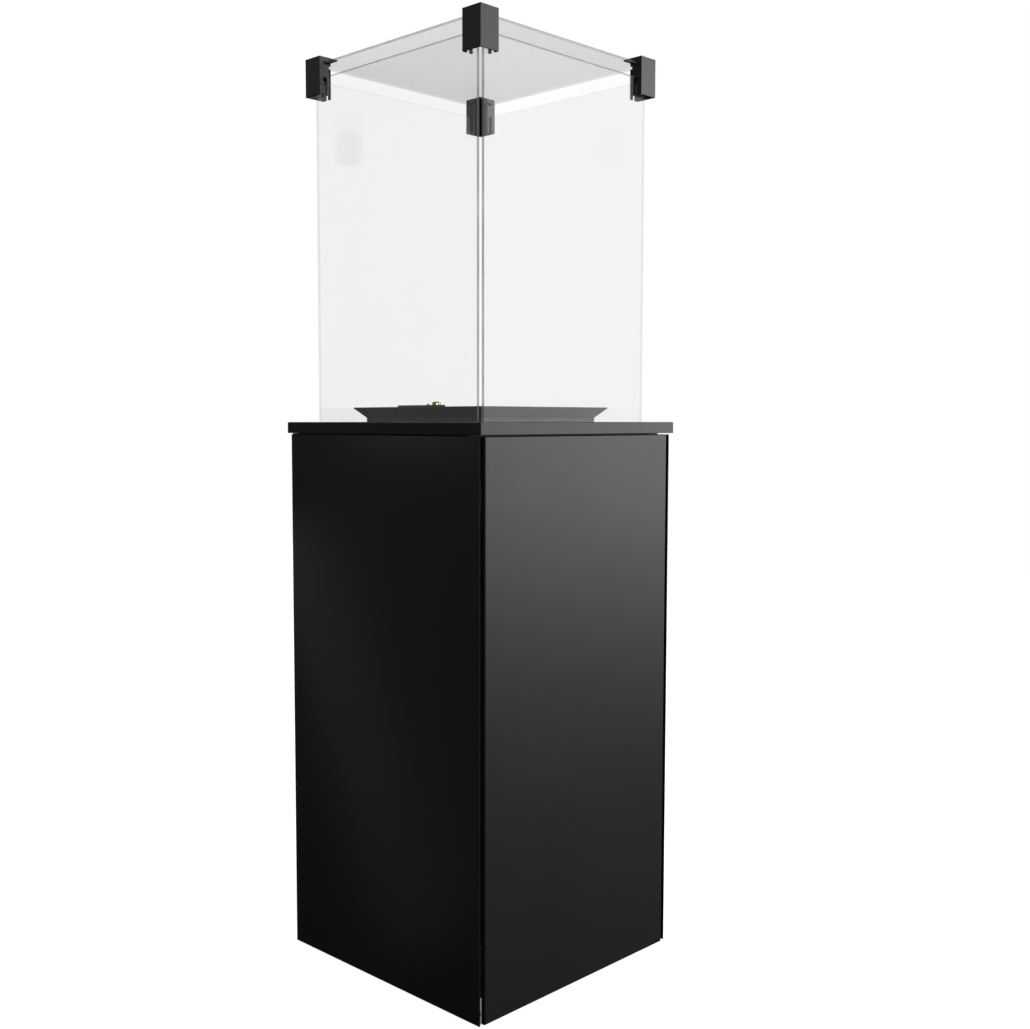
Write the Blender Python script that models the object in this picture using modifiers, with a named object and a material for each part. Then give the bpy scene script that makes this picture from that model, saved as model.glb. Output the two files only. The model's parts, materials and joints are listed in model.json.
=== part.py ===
"""Square gas patio heater: a steel cabinet for the gas bottle, a burner tray and a glass flame space.

Metres, +Z up. The origin is at the middle of the footprint, on the ground. -Y is the door side.
"""

import math

import bmesh
import bpy
from mathutils import Matrix, Vector

MM = 0.001

# Clearances
GAP = 0.3 * MM  # between pieces that touch
LOOSE = 0.5 * MM  # round glass, pins and other pieces that slide in
PIPE_GAP = 1 * MM  # from a pipe's end to its fitting
PAST = 10 * MM  # by which a cutter runs past the faces it opens

# Cabinet
CABINET_SIDE = 450 * MM
CABINET_HEIGHT = 878.1 * MM  # from the ground to the top plate
PANEL_BOTTOM = 3 * MM
PANEL_TOP_GAP = 2.3 * MM  # between the panels' top edges and the top plate
PANEL_SHEET = 1.5 * MM
REAR_FLANGE = 18 * MM
SIDE_SETBACK = 2 * MM  # of the side panels' front edges behind the door face

# Door
DOOR_INSET = 9.5 * MM  # of the door's edges from the cabinet's sides
DOOR_DEPTH = 7.5 * MM
DOOR_SHEET = 1.5 * MM
DOOR_ROOM = 24 * MM  # from the door's face back to the frame's front
PIVOT_IN = 10 * MM  # from the door's edge and from its face to the hinge axis

# Frame
POST_LEG = 30 * MM
POST_SHEET = 2.5 * MM
POST_BOTTOM = 32 * MM
BASE_SHEET = 1.5 * MM
BASE_FLANGE = 25 * MM
TOP_FRAME_SHEET = 1.5 * MM
TOP_FRAME_HEIGHT = 27.8 * MM
TOP_FRAME_LEDGE = 10 * MM  # from the panes' inner faces in to the frame's opening

# Top
PLATE_OVERHANG = 4.3 * MM
PLATE_HEIGHT = 18.4 * MM
PLATE_SHEET = 2 * MM
PLATE_ROUNDING = 1.6 * MM

# Glass
GLASS_INSET = 34.3 * MM  # from the top plate's edge to the panes' outer faces
PANE_SHEET = 5 * MM
PANE_END_GAP = 2 * MM  # from a pane's ends to its neighbours' inner faces
PANE_RISE = 560.8 * MM  # of a pane's top above the top plate
CHANNEL_WALL = 1.6 * MM
CHANNEL_BASE = 2 * MM
CHANNEL_ROOM = 1.1 * MM  # from a channel to the rim and to the deck
CHANNEL_SINK = 0.8 * MM  # of a channel's lips below the top plate's face
CHANNEL_END_GAP = 0.9 * MM  # from a channel's ends to its neighbours
LID_SHEET = 4 * MM
LID_INSET = 1.5 * MM  # of the lid's edge from the panes' outer faces
EXHAUST_GAP = 21.2 * MM  # between the panes' tops and the lid

# Corner clips
CLIP_PROUD = 8.6 * MM  # of a clip's outer walls beyond the panes' outer faces
CLIP_SIDE = 37.5 * MM
CLIP_RETURN = 19.5 * MM
CLIP_SHEET = 2.5 * MM
CLIP_GRIP = 28.5 * MM  # from a clip's lower edge to the panes' tops
CLIP_RISE = 7.5 * MM  # of a clip's top above the lid

# Burner tray
TRAY_MARGIN = 55 * MM  # from the burner's edge to the tray's wall
TRAY_FLARE = 16 * MM
TRAY_BEND = 7 * MM  # from the top plate's face up to where the wall flares
TRAY_RISE = 23.1 * MM  # of the rim above the top plate's face
TRAY_SHEET = 1.5 * MM
TRAY_HOLE = 7 * MM  # round the burner's neck
DECK_ROOM = 2 * MM  # from the tray's wall to the deck's opening

# Heat shield
SHIELD_SHEET = 1.2 * MM
SHIELD_WALL = 22 * MM
SHIELD_HOLE = 31 * MM  # round the burner's neck

# Burner
BURNER_RADIUS = 80 * MM
BURNER_RISE = 41.4 * MM  # of its crown above the tray's floor
BURNER_HEIGHT = 24 * MM
BURNER_CROWN = 5 * MM
BURNER_SHEET = 1.2 * MM
NECK_RADIUS = 14 * MM
NECK_LENGTH = 41 * MM
INJECTOR_RADIUS = 8 * MM
INJECTOR_SIDE = 20 * MM  # from the burner's axis to the elbow's side end
INJECTOR_DROP = 22 * MM  # from the neck's end down to the elbow's side axis
JET_DROP = 6 * MM  # from the neck's end down to the elbow's shoulder

# Pilot
PILOT_WALL_ROOM = 15 * MM  # from the tray's wall to the pilot bracket
PILOT_REACH = 21 * MM  # from the bracket to the pilot's parts
PILOT_PLATE_Y = (-39 * MM, 73 * MM)
PILOT_PLATE_RISE = 27.4 * MM  # above the top plate's face
PILOT_SHELF_RISE = 8.5 * MM
PILOT_SHELF_DEPTH = 36 * MM
PILOT_SHEET = 1.5 * MM
HOOD_Y = 2 * MM
HOOD_RADIUS = 7 * MM
HOOD_HEIGHT = 22.7 * MM
THERMOCOUPLE_Y = 21 * MM
THERMOCOUPLE_RADIUS = 3 * MM
THERMOCOUPLE_HEIGHT = 19.7 * MM
ELECTRODE_Y = -16 * MM
ELECTRODE_RADIUS = 3.5 * MM
ELECTRODE_HEIGHT = 14.2 * MM
ELECTRODE_WIRE = 1.2 * MM
PILOT_STEMS = {"hood": 14 * MM, "thermocouple": 16 * MM, "electrode": 18 * MM}  # below the shelf
LEAD_HOLE = 12 * MM
LEAD_SPREAD = 12 * MM  # between neighbouring leads behind the bracket

# Valve, receiver and pipes
BRACKET_BACK = 106 * MM  # from the frame's front to the bracket's face
BRACKET_DROP = 88 * MM
BRACKET_SHEET = 1.5 * MM
BRACKET_FLANGE = 28 * MM
BRACKET_PAST = (9 * MM, 10 * MM)  # beyond the receiver and beyond the valve
FITTINGS_DROP = 43.8 * MM  # from the bracket's top down to the middles of the valve and the receiver
VALVE_SIZE = (112 * MM, 46 * MM, 58 * MM)
VALVE_X = -4 * MM
KNOB_SPREAD = 56 * MM
KNOB_RADIUS = 19 * MM
KNOB_LENGTH = 22 * MM
KNOB_FLUTES = 12
KNOB_FLUTE_DEPTH = 1.1 * MM
SPINDLE_RADIUS = 4 * MM
SPINDLE_LENGTH = 15 * MM
COLLAR_RADIUS = 15 * MM
COLLAR_LENGTH = 4 * MM
NIPPLE_RADIUS = 8 * MM
NIPPLE_NUT = 3 * MM  # of the nut beyond the nipple's radius
NIPPLE_NUT_HEIGHT = 8 * MM
NIPPLE_NECK = 7 * MM
NIPPLE_RINGS = 3
NIPPLE_RING = 5 * MM  # from one hose ring to the next
NIPPLE_LENGTH = 34 * MM
NIPPLE_INSET = 18 * MM  # from the valve's end
FEED_PIPE_INSET = 38 * MM
PILOT_PIPE_INSET = 12 * MM
SENSOR_INSET = 22 * MM
FEED_PIPE_RADIUS = 5 * MM
PILOT_PIPE_RADIUS = 2.2 * MM
THIN_LEAD_RADIUS = 1.5 * MM
RECEIVER_SIZE = (92 * MM, 30 * MM, 60 * MM)
RECEIVER_GAP = 25 * MM  # from the receiver to the valve
RECEIVER_LEAD = (10 * MM, 12 * MM)  # from the receiver's middle and from the bracket to the ignition lead
SWITCH_SIZE = (8 * MM, 7 * MM, 9 * MM)
SWITCH_TRAVEL = 8 * MM

# Feet
FOOT_INSET = (20 * MM, 18 * MM)  # from the cabinet's side and from the frame's front or the cabinet's rear
FOOT_PAD_RADIUS = 16 * MM
FOOT_PAD_HEIGHT = 10 * MM
FOOT_NUT = 4 * MM  # of the nut beyond the stem's radius
FOOT_NUT_HEIGHT = 6 * MM
FOOT_STEM_RADIUS = 4 * MM
FOOT_HEIGHT = 70 * MM

# Magnet catches
CATCH_IN = {"lower": 89 * MM, "upper": 85.8 * MM}  # from the panels' bottom and top edges
CATCH_SIZE = (15 * MM, 44 * MM)
STRIKER_SHEET = 1.2 * MM
STRIKER_PAST = 2 * MM  # of the striker beyond each side of its catch

# Hinge hardware
PIN_RADIUS = 3 * MM
PIN_PAST = 8 * MM  # of the pin beyond the door's pivot tab
ARM_SHEET = 2.5 * MM
ARM_WIDTH = 12 * MM
ARM_FLANGE = 28 * MM
ARM_OFFSET = 4 * MM  # of the arm's straight part from the hinge axis
EYE_WALL = 3 * MM  # round the pin
ARM_LEVEL = {-1: 6 * MM, 1: 12 * MM}  # above the posts' bottom and above their top
PIVOT_TAB_RISE = 14 * MM  # from the arm to the door's pivot tab
PIVOT_TAB_PAST = (12 * MM, 7 * MM)  # of the tab from the hinge axis, inwards and backwards
PIVOT_LEG = (46 * MM, 22 * MM)
PIVOT_SHEET = 2 * MM

# Vent slots
SLOT_RADIUS = 3 * MM
BACK_SLOT_LENGTH = 180 * MM
BACK_SLOT_PITCH = 22 * MM
BACK_SLOT_ROWS = 4
BACK_SLOT_IN = (70 * MM, 130 * MM)  # of the lowest row of each group from the panel's bottom and top
BASE_SLOT_LENGTH = 150 * MM
BASE_SLOT_PITCH = 45 * MM

EDGE = 1 * MM  # small chamfers and steps on turned and moulded pieces

# Faces worked out from the sizes above
half_side = CABINET_SIDE / 2
inner_face = half_side - PANEL_SHEET
frame_half = inner_face - GAP
frame_front = -half_side + DOOR_ROOM
panel_top = CABINET_HEIGHT - PANEL_TOP_GAP
frame_top = CABINET_HEIGHT - GAP
frame_bottom = frame_top - TOP_FRAME_HEIGHT
post_top = frame_bottom - LOOSE
plate_half = half_side + PLATE_OVERHANG
plate_top = CABINET_HEIGHT + PLATE_HEIGHT
pane_outer = plate_half - GLASS_INSET
pane_inner = pane_outer - PANE_SHEET
pane_middle = (pane_outer + pane_inner) / 2
pane_half_width = pane_inner - PANE_END_GAP
pane_top = plate_top + PANE_RISE
seat_half = PANE_SHEET / 2 + LOOSE + CHANNEL_WALL + CHANNEL_ROOM
lid_half = pane_outer - LID_INSET
lid_bottom = pane_top + EXHAUST_GAP
clip_half = pane_outer + CLIP_PROUD
clip_bottom = pane_top - CLIP_GRIP
clip_top = lid_bottom + LID_SHEET + CLIP_RISE
door_half = half_side - DOOR_INSET
pivot = (door_half - PIVOT_IN, -half_side + PIVOT_IN)
door_back = -half_side + DOOR_SHEET + GAP
shield_bottom = post_top + 2 * GAP
tray_bottom = shield_bottom + SHIELD_SHEET + GAP
tray_half = BURNER_RADIUS + TRAY_MARGIN
burner_top = tray_bottom + BURNER_RISE
neck_bottom = burner_top - BURNER_HEIGHT - NECK_LENGTH
pilot_plate_x = -tray_half + PILOT_WALL_ROOM
pilot_x = pilot_plate_x + PILOT_REACH
pilot_shelf = plate_top + PILOT_SHELF_RISE
pilot_base = pilot_shelf + PILOT_SHEET + GAP
bracket_y = frame_front + BRACKET_BACK
bracket_face = bracket_y - GAP
bracket_top = shield_bottom - GAP
bracket_bottom = bracket_top - BRACKET_DROP
fittings_z = bracket_top - FITTINGS_DROP
valve_front = bracket_face - VALVE_SIZE[1]
valve_middle_y = (valve_front + bracket_face) / 2
valve_left, valve_right = VALVE_X - VALVE_SIZE[0] / 2, VALVE_X + VALVE_SIZE[0] / 2
valve_bottom = fittings_z - VALVE_SIZE[2] / 2
knob_back = valve_front - COLLAR_LENGTH - LOOSE
receiver_right = valve_left - RECEIVER_GAP
receiver_left = receiver_right - RECEIVER_SIZE[0]
receiver_x = (receiver_left + receiver_right) / 2
receiver_front = bracket_face - RECEIVER_SIZE[1]
eye_radius = PIN_RADIUS + EYE_WALL

for old in list(bpy.data.objects):
    bpy.data.objects.remove(old)


def collection(name, shown):
    made = bpy.data.collections.new(name)
    bpy.context.scene.collection.children.link(made)
    made.hide_render = not shown
    return made


parts = collection("patio_heater", True)
cutters = collection("cutters", False)


def material(name, colour, roughness, metallic=0.0):
    made = bpy.data.materials.new(name)
    made.use_nodes = True
    shader = made.node_tree.nodes["Principled BSDF"]
    shader.inputs["Base Color"].default_value = (*colour, 1.0)
    shader.inputs["Roughness"].default_value = roughness
    shader.inputs["Metallic"].default_value = metallic
    return made


def glass_material(name, colour):
    made = material(name, colour, 0.02)
    made.node_tree.nodes["Principled BSDF"].inputs["Transmission Weight"].default_value = 1.0
    return made


POWDER = material("powder_coat", (0.020, 0.020, 0.021), 0.42)
GALVANISED = material("galvanised_steel", (0.55, 0.56, 0.57), 0.45, 1.0)
STAINLESS = material("stainless_steel", (0.62, 0.61, 0.59), 0.3, 1.0)
BRASS = material("brass", (0.62, 0.43, 0.16), 0.3, 1.0)
COPPER = material("copper", (0.66, 0.34, 0.2), 0.35, 1.0)
CAST_ALUMINIUM = material("cast_aluminium", (0.6, 0.6, 0.61), 0.5, 1.0)
BLACK_PLASTIC = material("black_plastic", (0.03, 0.03, 0.03), 0.5)
CERAMIC = material("ceramic", (0.8, 0.78, 0.72), 0.35)
RED_SILICONE = material("ignition_sleeve", (0.28, 0.05, 0.03), 0.5)
PANE_GLASS = glass_material("pane_glass", (0.93, 0.97, 0.95))
LID_GLASS = glass_material("lid_glass", (0.9, 0.93, 0.92))


def add_object(name, mesh, finish=None, cutter=False):
    made = bpy.data.objects.new(name, mesh)
    if cutter:
        cutters.objects.link(made)
        made.hide_render = True
        made.display_type = "WIRE"
    else:
        parts.objects.link(made)
        mesh.materials.clear()
        mesh.materials.append(finish)
    return made


def box(name, low, high, finish=None, cutter=False):
    """A box between two corners, with its origin at its middle."""
    low, high = Vector(low), Vector(high)
    form = bmesh.new()
    bmesh.ops.create_cube(form, size=1)
    bmesh.ops.scale(form, vec=high - low, verts=form.verts)
    mesh = bpy.data.meshes.new(name)
    form.to_mesh(mesh)
    form.free()
    made = add_object(name, mesh, finish, cutter)
    made.location = (low + high) / 2
    return made


def pan(name, low, high, open_normal, sheet, finish):
    """A box of sheet metal, open on one side, with its sheet inside the given corners."""
    low, high = Vector(low), Vector(high)
    form = bmesh.new()
    bmesh.ops.create_cube(form, size=1)
    open_faces = [face for face in form.faces if face.normal.dot(Vector(open_normal)) > 0.9]
    bmesh.ops.delete(form, geom=open_faces, context="FACES")
    bmesh.ops.scale(form, vec=high - low, verts=form.verts)
    mesh = bpy.data.meshes.new(name)
    form.to_mesh(mesh)
    form.free()
    made = add_object(name, mesh, finish)
    made.location = (low + high) / 2
    thicken = made.modifiers.new("sheet", "SOLIDIFY")
    thicken.thickness = sheet
    thicken.offset = -1
    thicken.use_even_offset = True
    return made


def rod(name, start, end, radius, finish=None, cutter=False, steps=24):
    """A plain cylinder between two points."""
    start, end = Vector(start), Vector(end)
    form = bmesh.new()
    bmesh.ops.create_cone(form, cap_ends=True, segments=steps, radius1=radius, radius2=radius,
                          depth=(end - start).length)
    mesh = bpy.data.meshes.new(name)
    form.to_mesh(mesh)
    form.free()
    mesh.shade_smooth()
    mesh.set_sharp_from_angle(angle=math.radians(40))
    made = add_object(name, mesh, finish, cutter)
    made.location = (start + end) / 2
    made.rotation_euler = (end - start).to_track_quat("Z", "Y").to_euler()
    return made


def upright_hole(name, place, height, radius):
    """A round cutter that stands in one sheet at a height."""
    return rod(name, (*place, height - PAST), (*place, height + PAST), radius, cutter=True)


def turned(name, profile, place, finish, steps):
    """A turned piece. Its profile is (radius, height) pairs from the top down."""
    mesh = bpy.data.meshes.new(name)
    mesh.from_pydata([(radius, 0, height) for radius, height in profile],
                     [(i, i + 1) for i in range(len(profile) - 1)], [])
    made = add_object(name, mesh, finish)
    made.location = place
    turn = made.modifiers.new("turn", "SCREW")
    turn.steps = steps
    turn.render_steps = steps
    turn.use_merge_vertices = True
    turn.merge_threshold = 0.00001
    turn.use_smooth_shade = False
    return made


def prism(name, outline, low, high, axis="Z", finish=None, cutter=False):
    """A flat outline drawn out along an axis. Its points are (x, y), (y, z) or (z, x) pairs."""
    curve = bpy.data.curves.new(name, "CURVE")
    curve.dimensions = "2D"
    curve.fill_mode = "BOTH"
    curve.extrude = (high - low) / 2
    spline = curve.splines.new("POLY")
    spline.points.add(len(outline) - 1)
    for point, (first, second) in zip(spline.points, outline):
        point.co = (first, second, 0, 1)
    spline.use_cyclic_u = True
    drawn = bpy.data.objects.new(name + "_outline", curve)
    cutters.objects.link(drawn)
    middle = (low + high) / 2
    turn = {
        "Z": Matrix.Identity(4),
        "X": Matrix(((0, 0, 1, 0), (1, 0, 0, 0), (0, 1, 0, 0), (0, 0, 0, 1))),
        "Y": Matrix(((0, 1, 0, 0), (0, 0, 1, 0), (1, 0, 0, 0), (0, 0, 0, 1))),
    }[axis]
    drawn.matrix_world = turn @ Matrix.Translation((0, 0, middle))
    bpy.context.view_layer.update()
    mesh = bpy.data.meshes.new_from_object(drawn.evaluated_get(bpy.context.evaluated_depsgraph_get()))
    form = bmesh.new()
    form.from_mesh(mesh)
    bmesh.ops.remove_doubles(form, verts=form.verts, dist=0.000001)
    bmesh.ops.recalc_face_normals(form, faces=form.faces)
    form.to_mesh(mesh)
    form.free()
    made = add_object(name, mesh, finish, cutter)
    made.matrix_world = drawn.matrix_world
    bpy.data.objects.remove(drawn)
    return made


def rounded_slot(name, middle, length, radius, along, through):
    """A cutter with round ends, centred on a point, lying along one axis and going through another."""
    arc = [math.pi * step / 6 for step in range(7)]
    reach = length / 2 - radius
    outline = [(reach + radius * math.sin(a), -radius * math.cos(a)) for a in arc]
    outline += [(-reach - radius * math.sin(a), radius * math.cos(a)) for a in arc]
    slot = prism(name, outline, -PAST, PAST, "Z", cutter=True)
    x_axis, z_axis = Vector(along), Vector(through)
    turn = Matrix((x_axis, z_axis.cross(x_axis), z_axis)).transposed().to_4x4()
    slot.matrix_world = Matrix.Translation(middle) @ turn
    return slot


def shape(target, cutter, operation="DIFFERENCE"):
    change = target.modifiers.new(cutter.name, "BOOLEAN")
    change.operation = operation
    change.object = cutter
    change.solver = "EXACT"
    return target


def join(name, pieces, finish):
    """One body from overlapping pieces, with all their modifiers worked in."""
    first, others = pieces[0], pieces[1:]
    for other in others:
        shape(first, other, "UNION")
    return fixed(name, first, finish, pieces)


def fixed(name, source, finish, used=()):
    """A plain mesh object made from a source object as it stands."""
    bpy.context.view_layer.update()
    mesh = bpy.data.meshes.new_from_object(source.evaluated_get(bpy.context.evaluated_depsgraph_get()))
    place = source.matrix_world.copy()
    for piece in used:
        bpy.data.objects.remove(piece)
    made = add_object(name, mesh, finish)
    made.name = name
    made.matrix_world = place
    return made


def quarter_turns(source, names):
    """The source under its first name, and a copy a quarter turn further on for each other name."""
    first = fixed("pattern", source, source.data.materials[0], [source])
    place = first.matrix_world.copy()
    first.name = names[0]
    for turn, name in enumerate(names[1:], 1):
        copy = add_object(name, first.data.copy(), first.data.materials[0])
        copy.matrix_world = Matrix.Rotation(turn * math.pi / 2, 4, "Z") @ place


def tube(name, route, radius, finish, per_span=4):
    """A bent tube or wire, straight at both ends and with a smooth curve through the route between them."""
    points = [route[0]]
    for before, start, end, after in zip(route, route[1:], route[2:], route[3:]):
        if before is route[0]:
            before = end - (start - before) * 2
        if after is route[-1]:
            after = start + (after - end) * 2
        for step in range(per_span):
            t = step / per_span
            points.append(0.5 * (2 * start + (end - before) * t
                                 + (2 * before - 5 * start + 4 * end - after) * t * t
                                 + (3 * start - before - 3 * end + after) * t ** 3))
    points.append(route[-2])
    points.append(route[-1])
    curve = bpy.data.curves.new(name, "CURVE")
    curve.dimensions = "3D"
    curve.bevel_depth = radius
    curve.bevel_resolution = 2
    curve.use_fill_caps = True
    curve.materials.append(finish)
    spline = curve.splines.new("POLY")
    spline.points.add(len(points) - 1)
    for point, place in zip(spline.points, points):
        point.co = (*place, 1)
    made = bpy.data.objects.new(name, curve)
    parts.objects.link(made)
    return made


def hang_on(axis_name, place, pieces):
    """Parents pieces to an empty that stands on their joint's axis."""
    axis = bpy.data.objects.new(axis_name, None)
    axis.location = place
    parts.objects.link(axis)
    for piece in pieces:
        piece.parent = axis
        piece.matrix_parent_inverse = Matrix.Translation(-Vector(place))


def side_panel(name, side):
    outer, inner = side * half_side, side * inner_face
    front = -half_side + SIDE_SETBACK
    flange = side * (half_side - REAR_FLANGE)
    outline = [(outer, front), (outer, half_side), (flange, half_side),
               (flange, inner_face), (inner, inner_face), (inner, front)]
    return prism(name, outline, PANEL_BOTTOM, panel_top, finish=POWDER)


def back_panel():
    reach = half_side - REAR_FLANGE - GAP
    panel = box("back_panel", (-reach, inner_face, PANEL_BOTTOM), (reach, half_side, panel_top), POWDER)
    lowest = (PANEL_BOTTOM + BACK_SLOT_IN[0], panel_top - BACK_SLOT_IN[1])
    heights = [low + row * BACK_SLOT_PITCH for low in lowest for row in range(BACK_SLOT_ROWS)]
    for index, height in enumerate(heights):
        slot = rounded_slot(f"back_slot_{index}", (0, half_side, height), BACK_SLOT_LENGTH, SLOT_RADIUS,
                            (1, 0, 0), (0, -1, 0))
        shape(panel, slot)
    return panel


def frame_post(name, side, end):
    """An angle post. end is -1 for the front pair and 1 for the rear pair."""
    x, y = side * frame_half, frame_front if end < 0 else frame_half
    leg, sheet = POST_LEG, POST_SHEET
    outline = [(0, 0), (leg, 0), (leg, sheet), (sheet, sheet), (sheet, leg), (0, leg)]
    placed = [(x - side * across, y - end * along) for across, along in outline]
    return prism(name, placed, POST_BOTTOM, post_top, finish=GALVANISED)


def foot_places():
    x = half_side - FOOT_INSET[0]
    front, rear = frame_front + FOOT_INSET[1], half_side - FOOT_INSET[1]
    return {"front_left": (-x, front), "front_right": (x, front),
            "rear_left": (-x, rear), "rear_right": (x, rear)}


def base_plate():
    half = frame_half - POST_SHEET - GAP
    front = frame_front + POST_SHEET + GAP
    plate = pan("base_plate", (-half, front, POST_BOTTOM), (half, half, POST_BOTTOM + BASE_FLANGE),
                (0, 0, 1), BASE_SHEET, GALVANISED)
    for corner, (x, y) in foot_places().items():
        shape(plate, upright_hole(f"foot_hole_{corner}", (x, y), POST_BOTTOM, FOOT_STEM_RADIUS + LOOSE))
    for index in range(-2, 3):
        middle = (0, index * BASE_SLOT_PITCH, POST_BOTTOM)
        slot = rounded_slot(f"base_slot_{index + 2}", middle, BASE_SLOT_LENGTH, SLOT_RADIUS,
                            (1, 0, 0), (0, 0, 1))
        shape(plate, slot)
    return plate


def levelling_foot(name, x, y):
    pad, stem = FOOT_PAD_RADIUS, FOOT_STEM_RADIUS
    nut, nut_top = stem + FOOT_NUT, FOOT_PAD_HEIGHT + FOOT_NUT_HEIGHT
    profile = [(0, FOOT_HEIGHT), (stem - EDGE, FOOT_HEIGHT), (stem, FOOT_HEIGHT - EDGE), (stem, nut_top),
               (nut, nut_top), (nut, FOOT_PAD_HEIGHT), (nut - 2 * EDGE, FOOT_PAD_HEIGHT),
               (pad - 2 * EDGE, FOOT_PAD_HEIGHT - 3 * EDGE), (pad, FOOT_PAD_HEIGHT / 2), (pad, EDGE),
               (pad - EDGE, 0), (0, 0)]
    return turned(name, profile, (x, y, 0), BLACK_PLASTIC, 18)


def top_frame():
    frame = pan("top_frame", (-frame_half, frame_front, frame_bottom), (frame_half, frame_half, frame_top),
                (0, 0, -1), TOP_FRAME_SHEET, POWDER)
    half = pane_inner - TOP_FRAME_LEDGE
    opening = box("top_frame_opening", (-half, -half, frame_bottom), (half, half, plate_top), cutter=True)
    return shape(frame, opening)


def top_plate():
    half, hole = plate_half, pane_middle + seat_half
    roof = plate_top - PLATE_SHEET
    plate = box("top_plate", (-half, -half, CABINET_HEIGHT), (half, half, plate_top), POWDER)
    round_over = plate.modifiers.new("rounding", "BEVEL")
    round_over.width = PLATE_ROUNDING
    round_over.segments = 3
    round_over.limit_method = "ANGLE"
    inside, lip_out = half - PLATE_SHEET, hole + PLATE_SHEET
    hollow = box("plate_hollow", (-inside, -inside, CABINET_HEIGHT - PAST), (inside, inside, roof),
                 cutter=True)
    lip = box("plate_lip", (-lip_out, -lip_out, CABINET_HEIGHT), (lip_out, lip_out, roof + PLATE_SHEET / 2),
              cutter=True)
    opening = box("plate_opening", (-hole, -hole, CABINET_HEIGHT - 2 * PAST), (hole, hole, plate_top + PAST),
                  cutter=True)
    shape(plate, hollow)
    shape(plate, lip, "UNION")
    return shape(plate, opening)


def burner_deck():
    half, room = pane_middle - seat_half, tray_half + DECK_ROOM
    deck = pan("burner_deck", (-half, -half, CABINET_HEIGHT), (half, half, plate_top), (0, 0, -1),
               PLATE_SHEET, POWDER)
    opening = box("deck_opening", (-room, -room, CABINET_HEIGHT), (room, room, plate_top + PAST), cutter=True)
    return shape(deck, opening)


def glass_channel():
    """One U channel at the front, seated on the top frame between rim and deck."""
    inner = PANE_SHEET / 2 + LOOSE
    outer = inner + CHANNEL_WALL
    base, top = CABINET_HEIGHT, plate_top - CHANNEL_SINK
    floor = base + CHANNEL_BASE
    y = -pane_middle
    outline = [(y - outer, base), (y + outer, base), (y + outer, top), (y + inner, top),
               (y + inner, floor), (y - inner, floor), (y - inner, top), (y - outer, top)]
    reach = pane_middle - outer - CHANNEL_END_GAP
    return prism("channel", outline, -reach, reach, "X", POWDER)


def glass_pane():
    low = CABINET_HEIGHT + CHANNEL_BASE + GAP
    half = pane_half_width
    return box("pane", (-half, -pane_outer, low), (half, -pane_inner, pane_top), PANE_GLASS)


def glass_lid():
    return box("glass_lid", (-lid_half, -lid_half, lid_bottom), (lid_half, lid_half, lid_bottom + LID_SHEET),
               LID_GLASS)


def corner_clip():
    """The front left clip: top, two outer walls, and a return on each with its pane slot and lid slot."""
    def block(name, across, along, height, cutter=True):
        low, high = zip(across, along, height)
        corner = Vector((-clip_half, -clip_half, 0))
        return box(name, corner + Vector(low), corner + Vector(high), POWDER, cutter)

    wall, side = (0, CLIP_SIDE), CLIP_SIDE + PAST
    inside = (CLIP_SHEET, CLIP_SIDE - CLIP_SHEET)
    beyond = (CLIP_RETURN, side)
    open_height = (clip_bottom - PAST, clip_top - CLIP_SHEET)
    pane_height = (clip_bottom - PAST, pane_top + LOOSE)
    lid_height = (lid_bottom - GAP, lid_bottom + LID_SHEET + LOOSE)
    pane_slot = (CLIP_PROUD - LOOSE, CLIP_PROUD + PANE_SHEET + LOOSE)
    lid_slot = (CLIP_PROUD + LID_INSET - LOOSE, side)
    clip = block("clip", wall, wall, (clip_bottom, clip_top), cutter=False)
    shape(clip, block("clip_hollow", inside, inside, open_height))
    shape(clip, block("clip_open_side", beyond, beyond, open_height))
    shape(clip, block("clip_slot_x", pane_slot, beyond, pane_height))
    shape(clip, block("clip_slot_y", beyond, pane_slot, pane_height))
    return shape(clip, block("clip_lid_slot", lid_slot, lid_slot, lid_height))


def lead_slot(name, height):
    """A cutter for the slot that the pilot's pipe and leads pass through."""
    middle = (pilot_x, (ELECTRODE_Y + THERMOCOUPLE_Y) / 2, height)
    length = THERMOCOUPLE_Y - ELECTRODE_Y + 2 * LEAD_HOLE
    return rounded_slot(name, middle, length, LEAD_HOLE, (0, 1, 0), (0, 0, 1))


def burner_tray():
    """A square tray whose walls flare out above the deck."""
    form = bmesh.new()
    bmesh.ops.create_cube(form, size=2)
    roof = [face for face in form.faces if face.normal.z > 0.9]
    bmesh.ops.delete(form, geom=roof, context="FACES_ONLY")
    open_edges = [edge for edge in form.edges if edge.is_boundary]
    flared = bmesh.ops.extrude_edge_only(form, edges=open_edges)["geom"]
    rim_verts = {item for item in flared if isinstance(item, bmesh.types.BMVert)}
    for vert in form.verts:
        if vert in rim_verts:
            reach, height = tray_half + TRAY_FLARE, plate_top + TRAY_RISE
        else:
            reach, height = tray_half, plate_top + TRAY_BEND if vert.co.z > 0 else tray_bottom
        vert.co = (math.copysign(reach, vert.co.x), math.copysign(reach, vert.co.y), height)
    mesh = bpy.data.meshes.new("burner_tray")
    form.to_mesh(mesh)
    form.free()
    tray = add_object("burner_tray", mesh, POWDER)
    thicken = tray.modifiers.new("sheet", "SOLIDIFY")
    thicken.thickness = TRAY_SHEET
    thicken.offset = -1
    thicken.use_even_offset = True
    shape(tray, upright_hole("tray_neck_hole", (0, 0), tray_bottom, NECK_RADIUS + TRAY_HOLE))
    return shape(tray, lead_slot("tray_lead_slot", tray_bottom))


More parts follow.
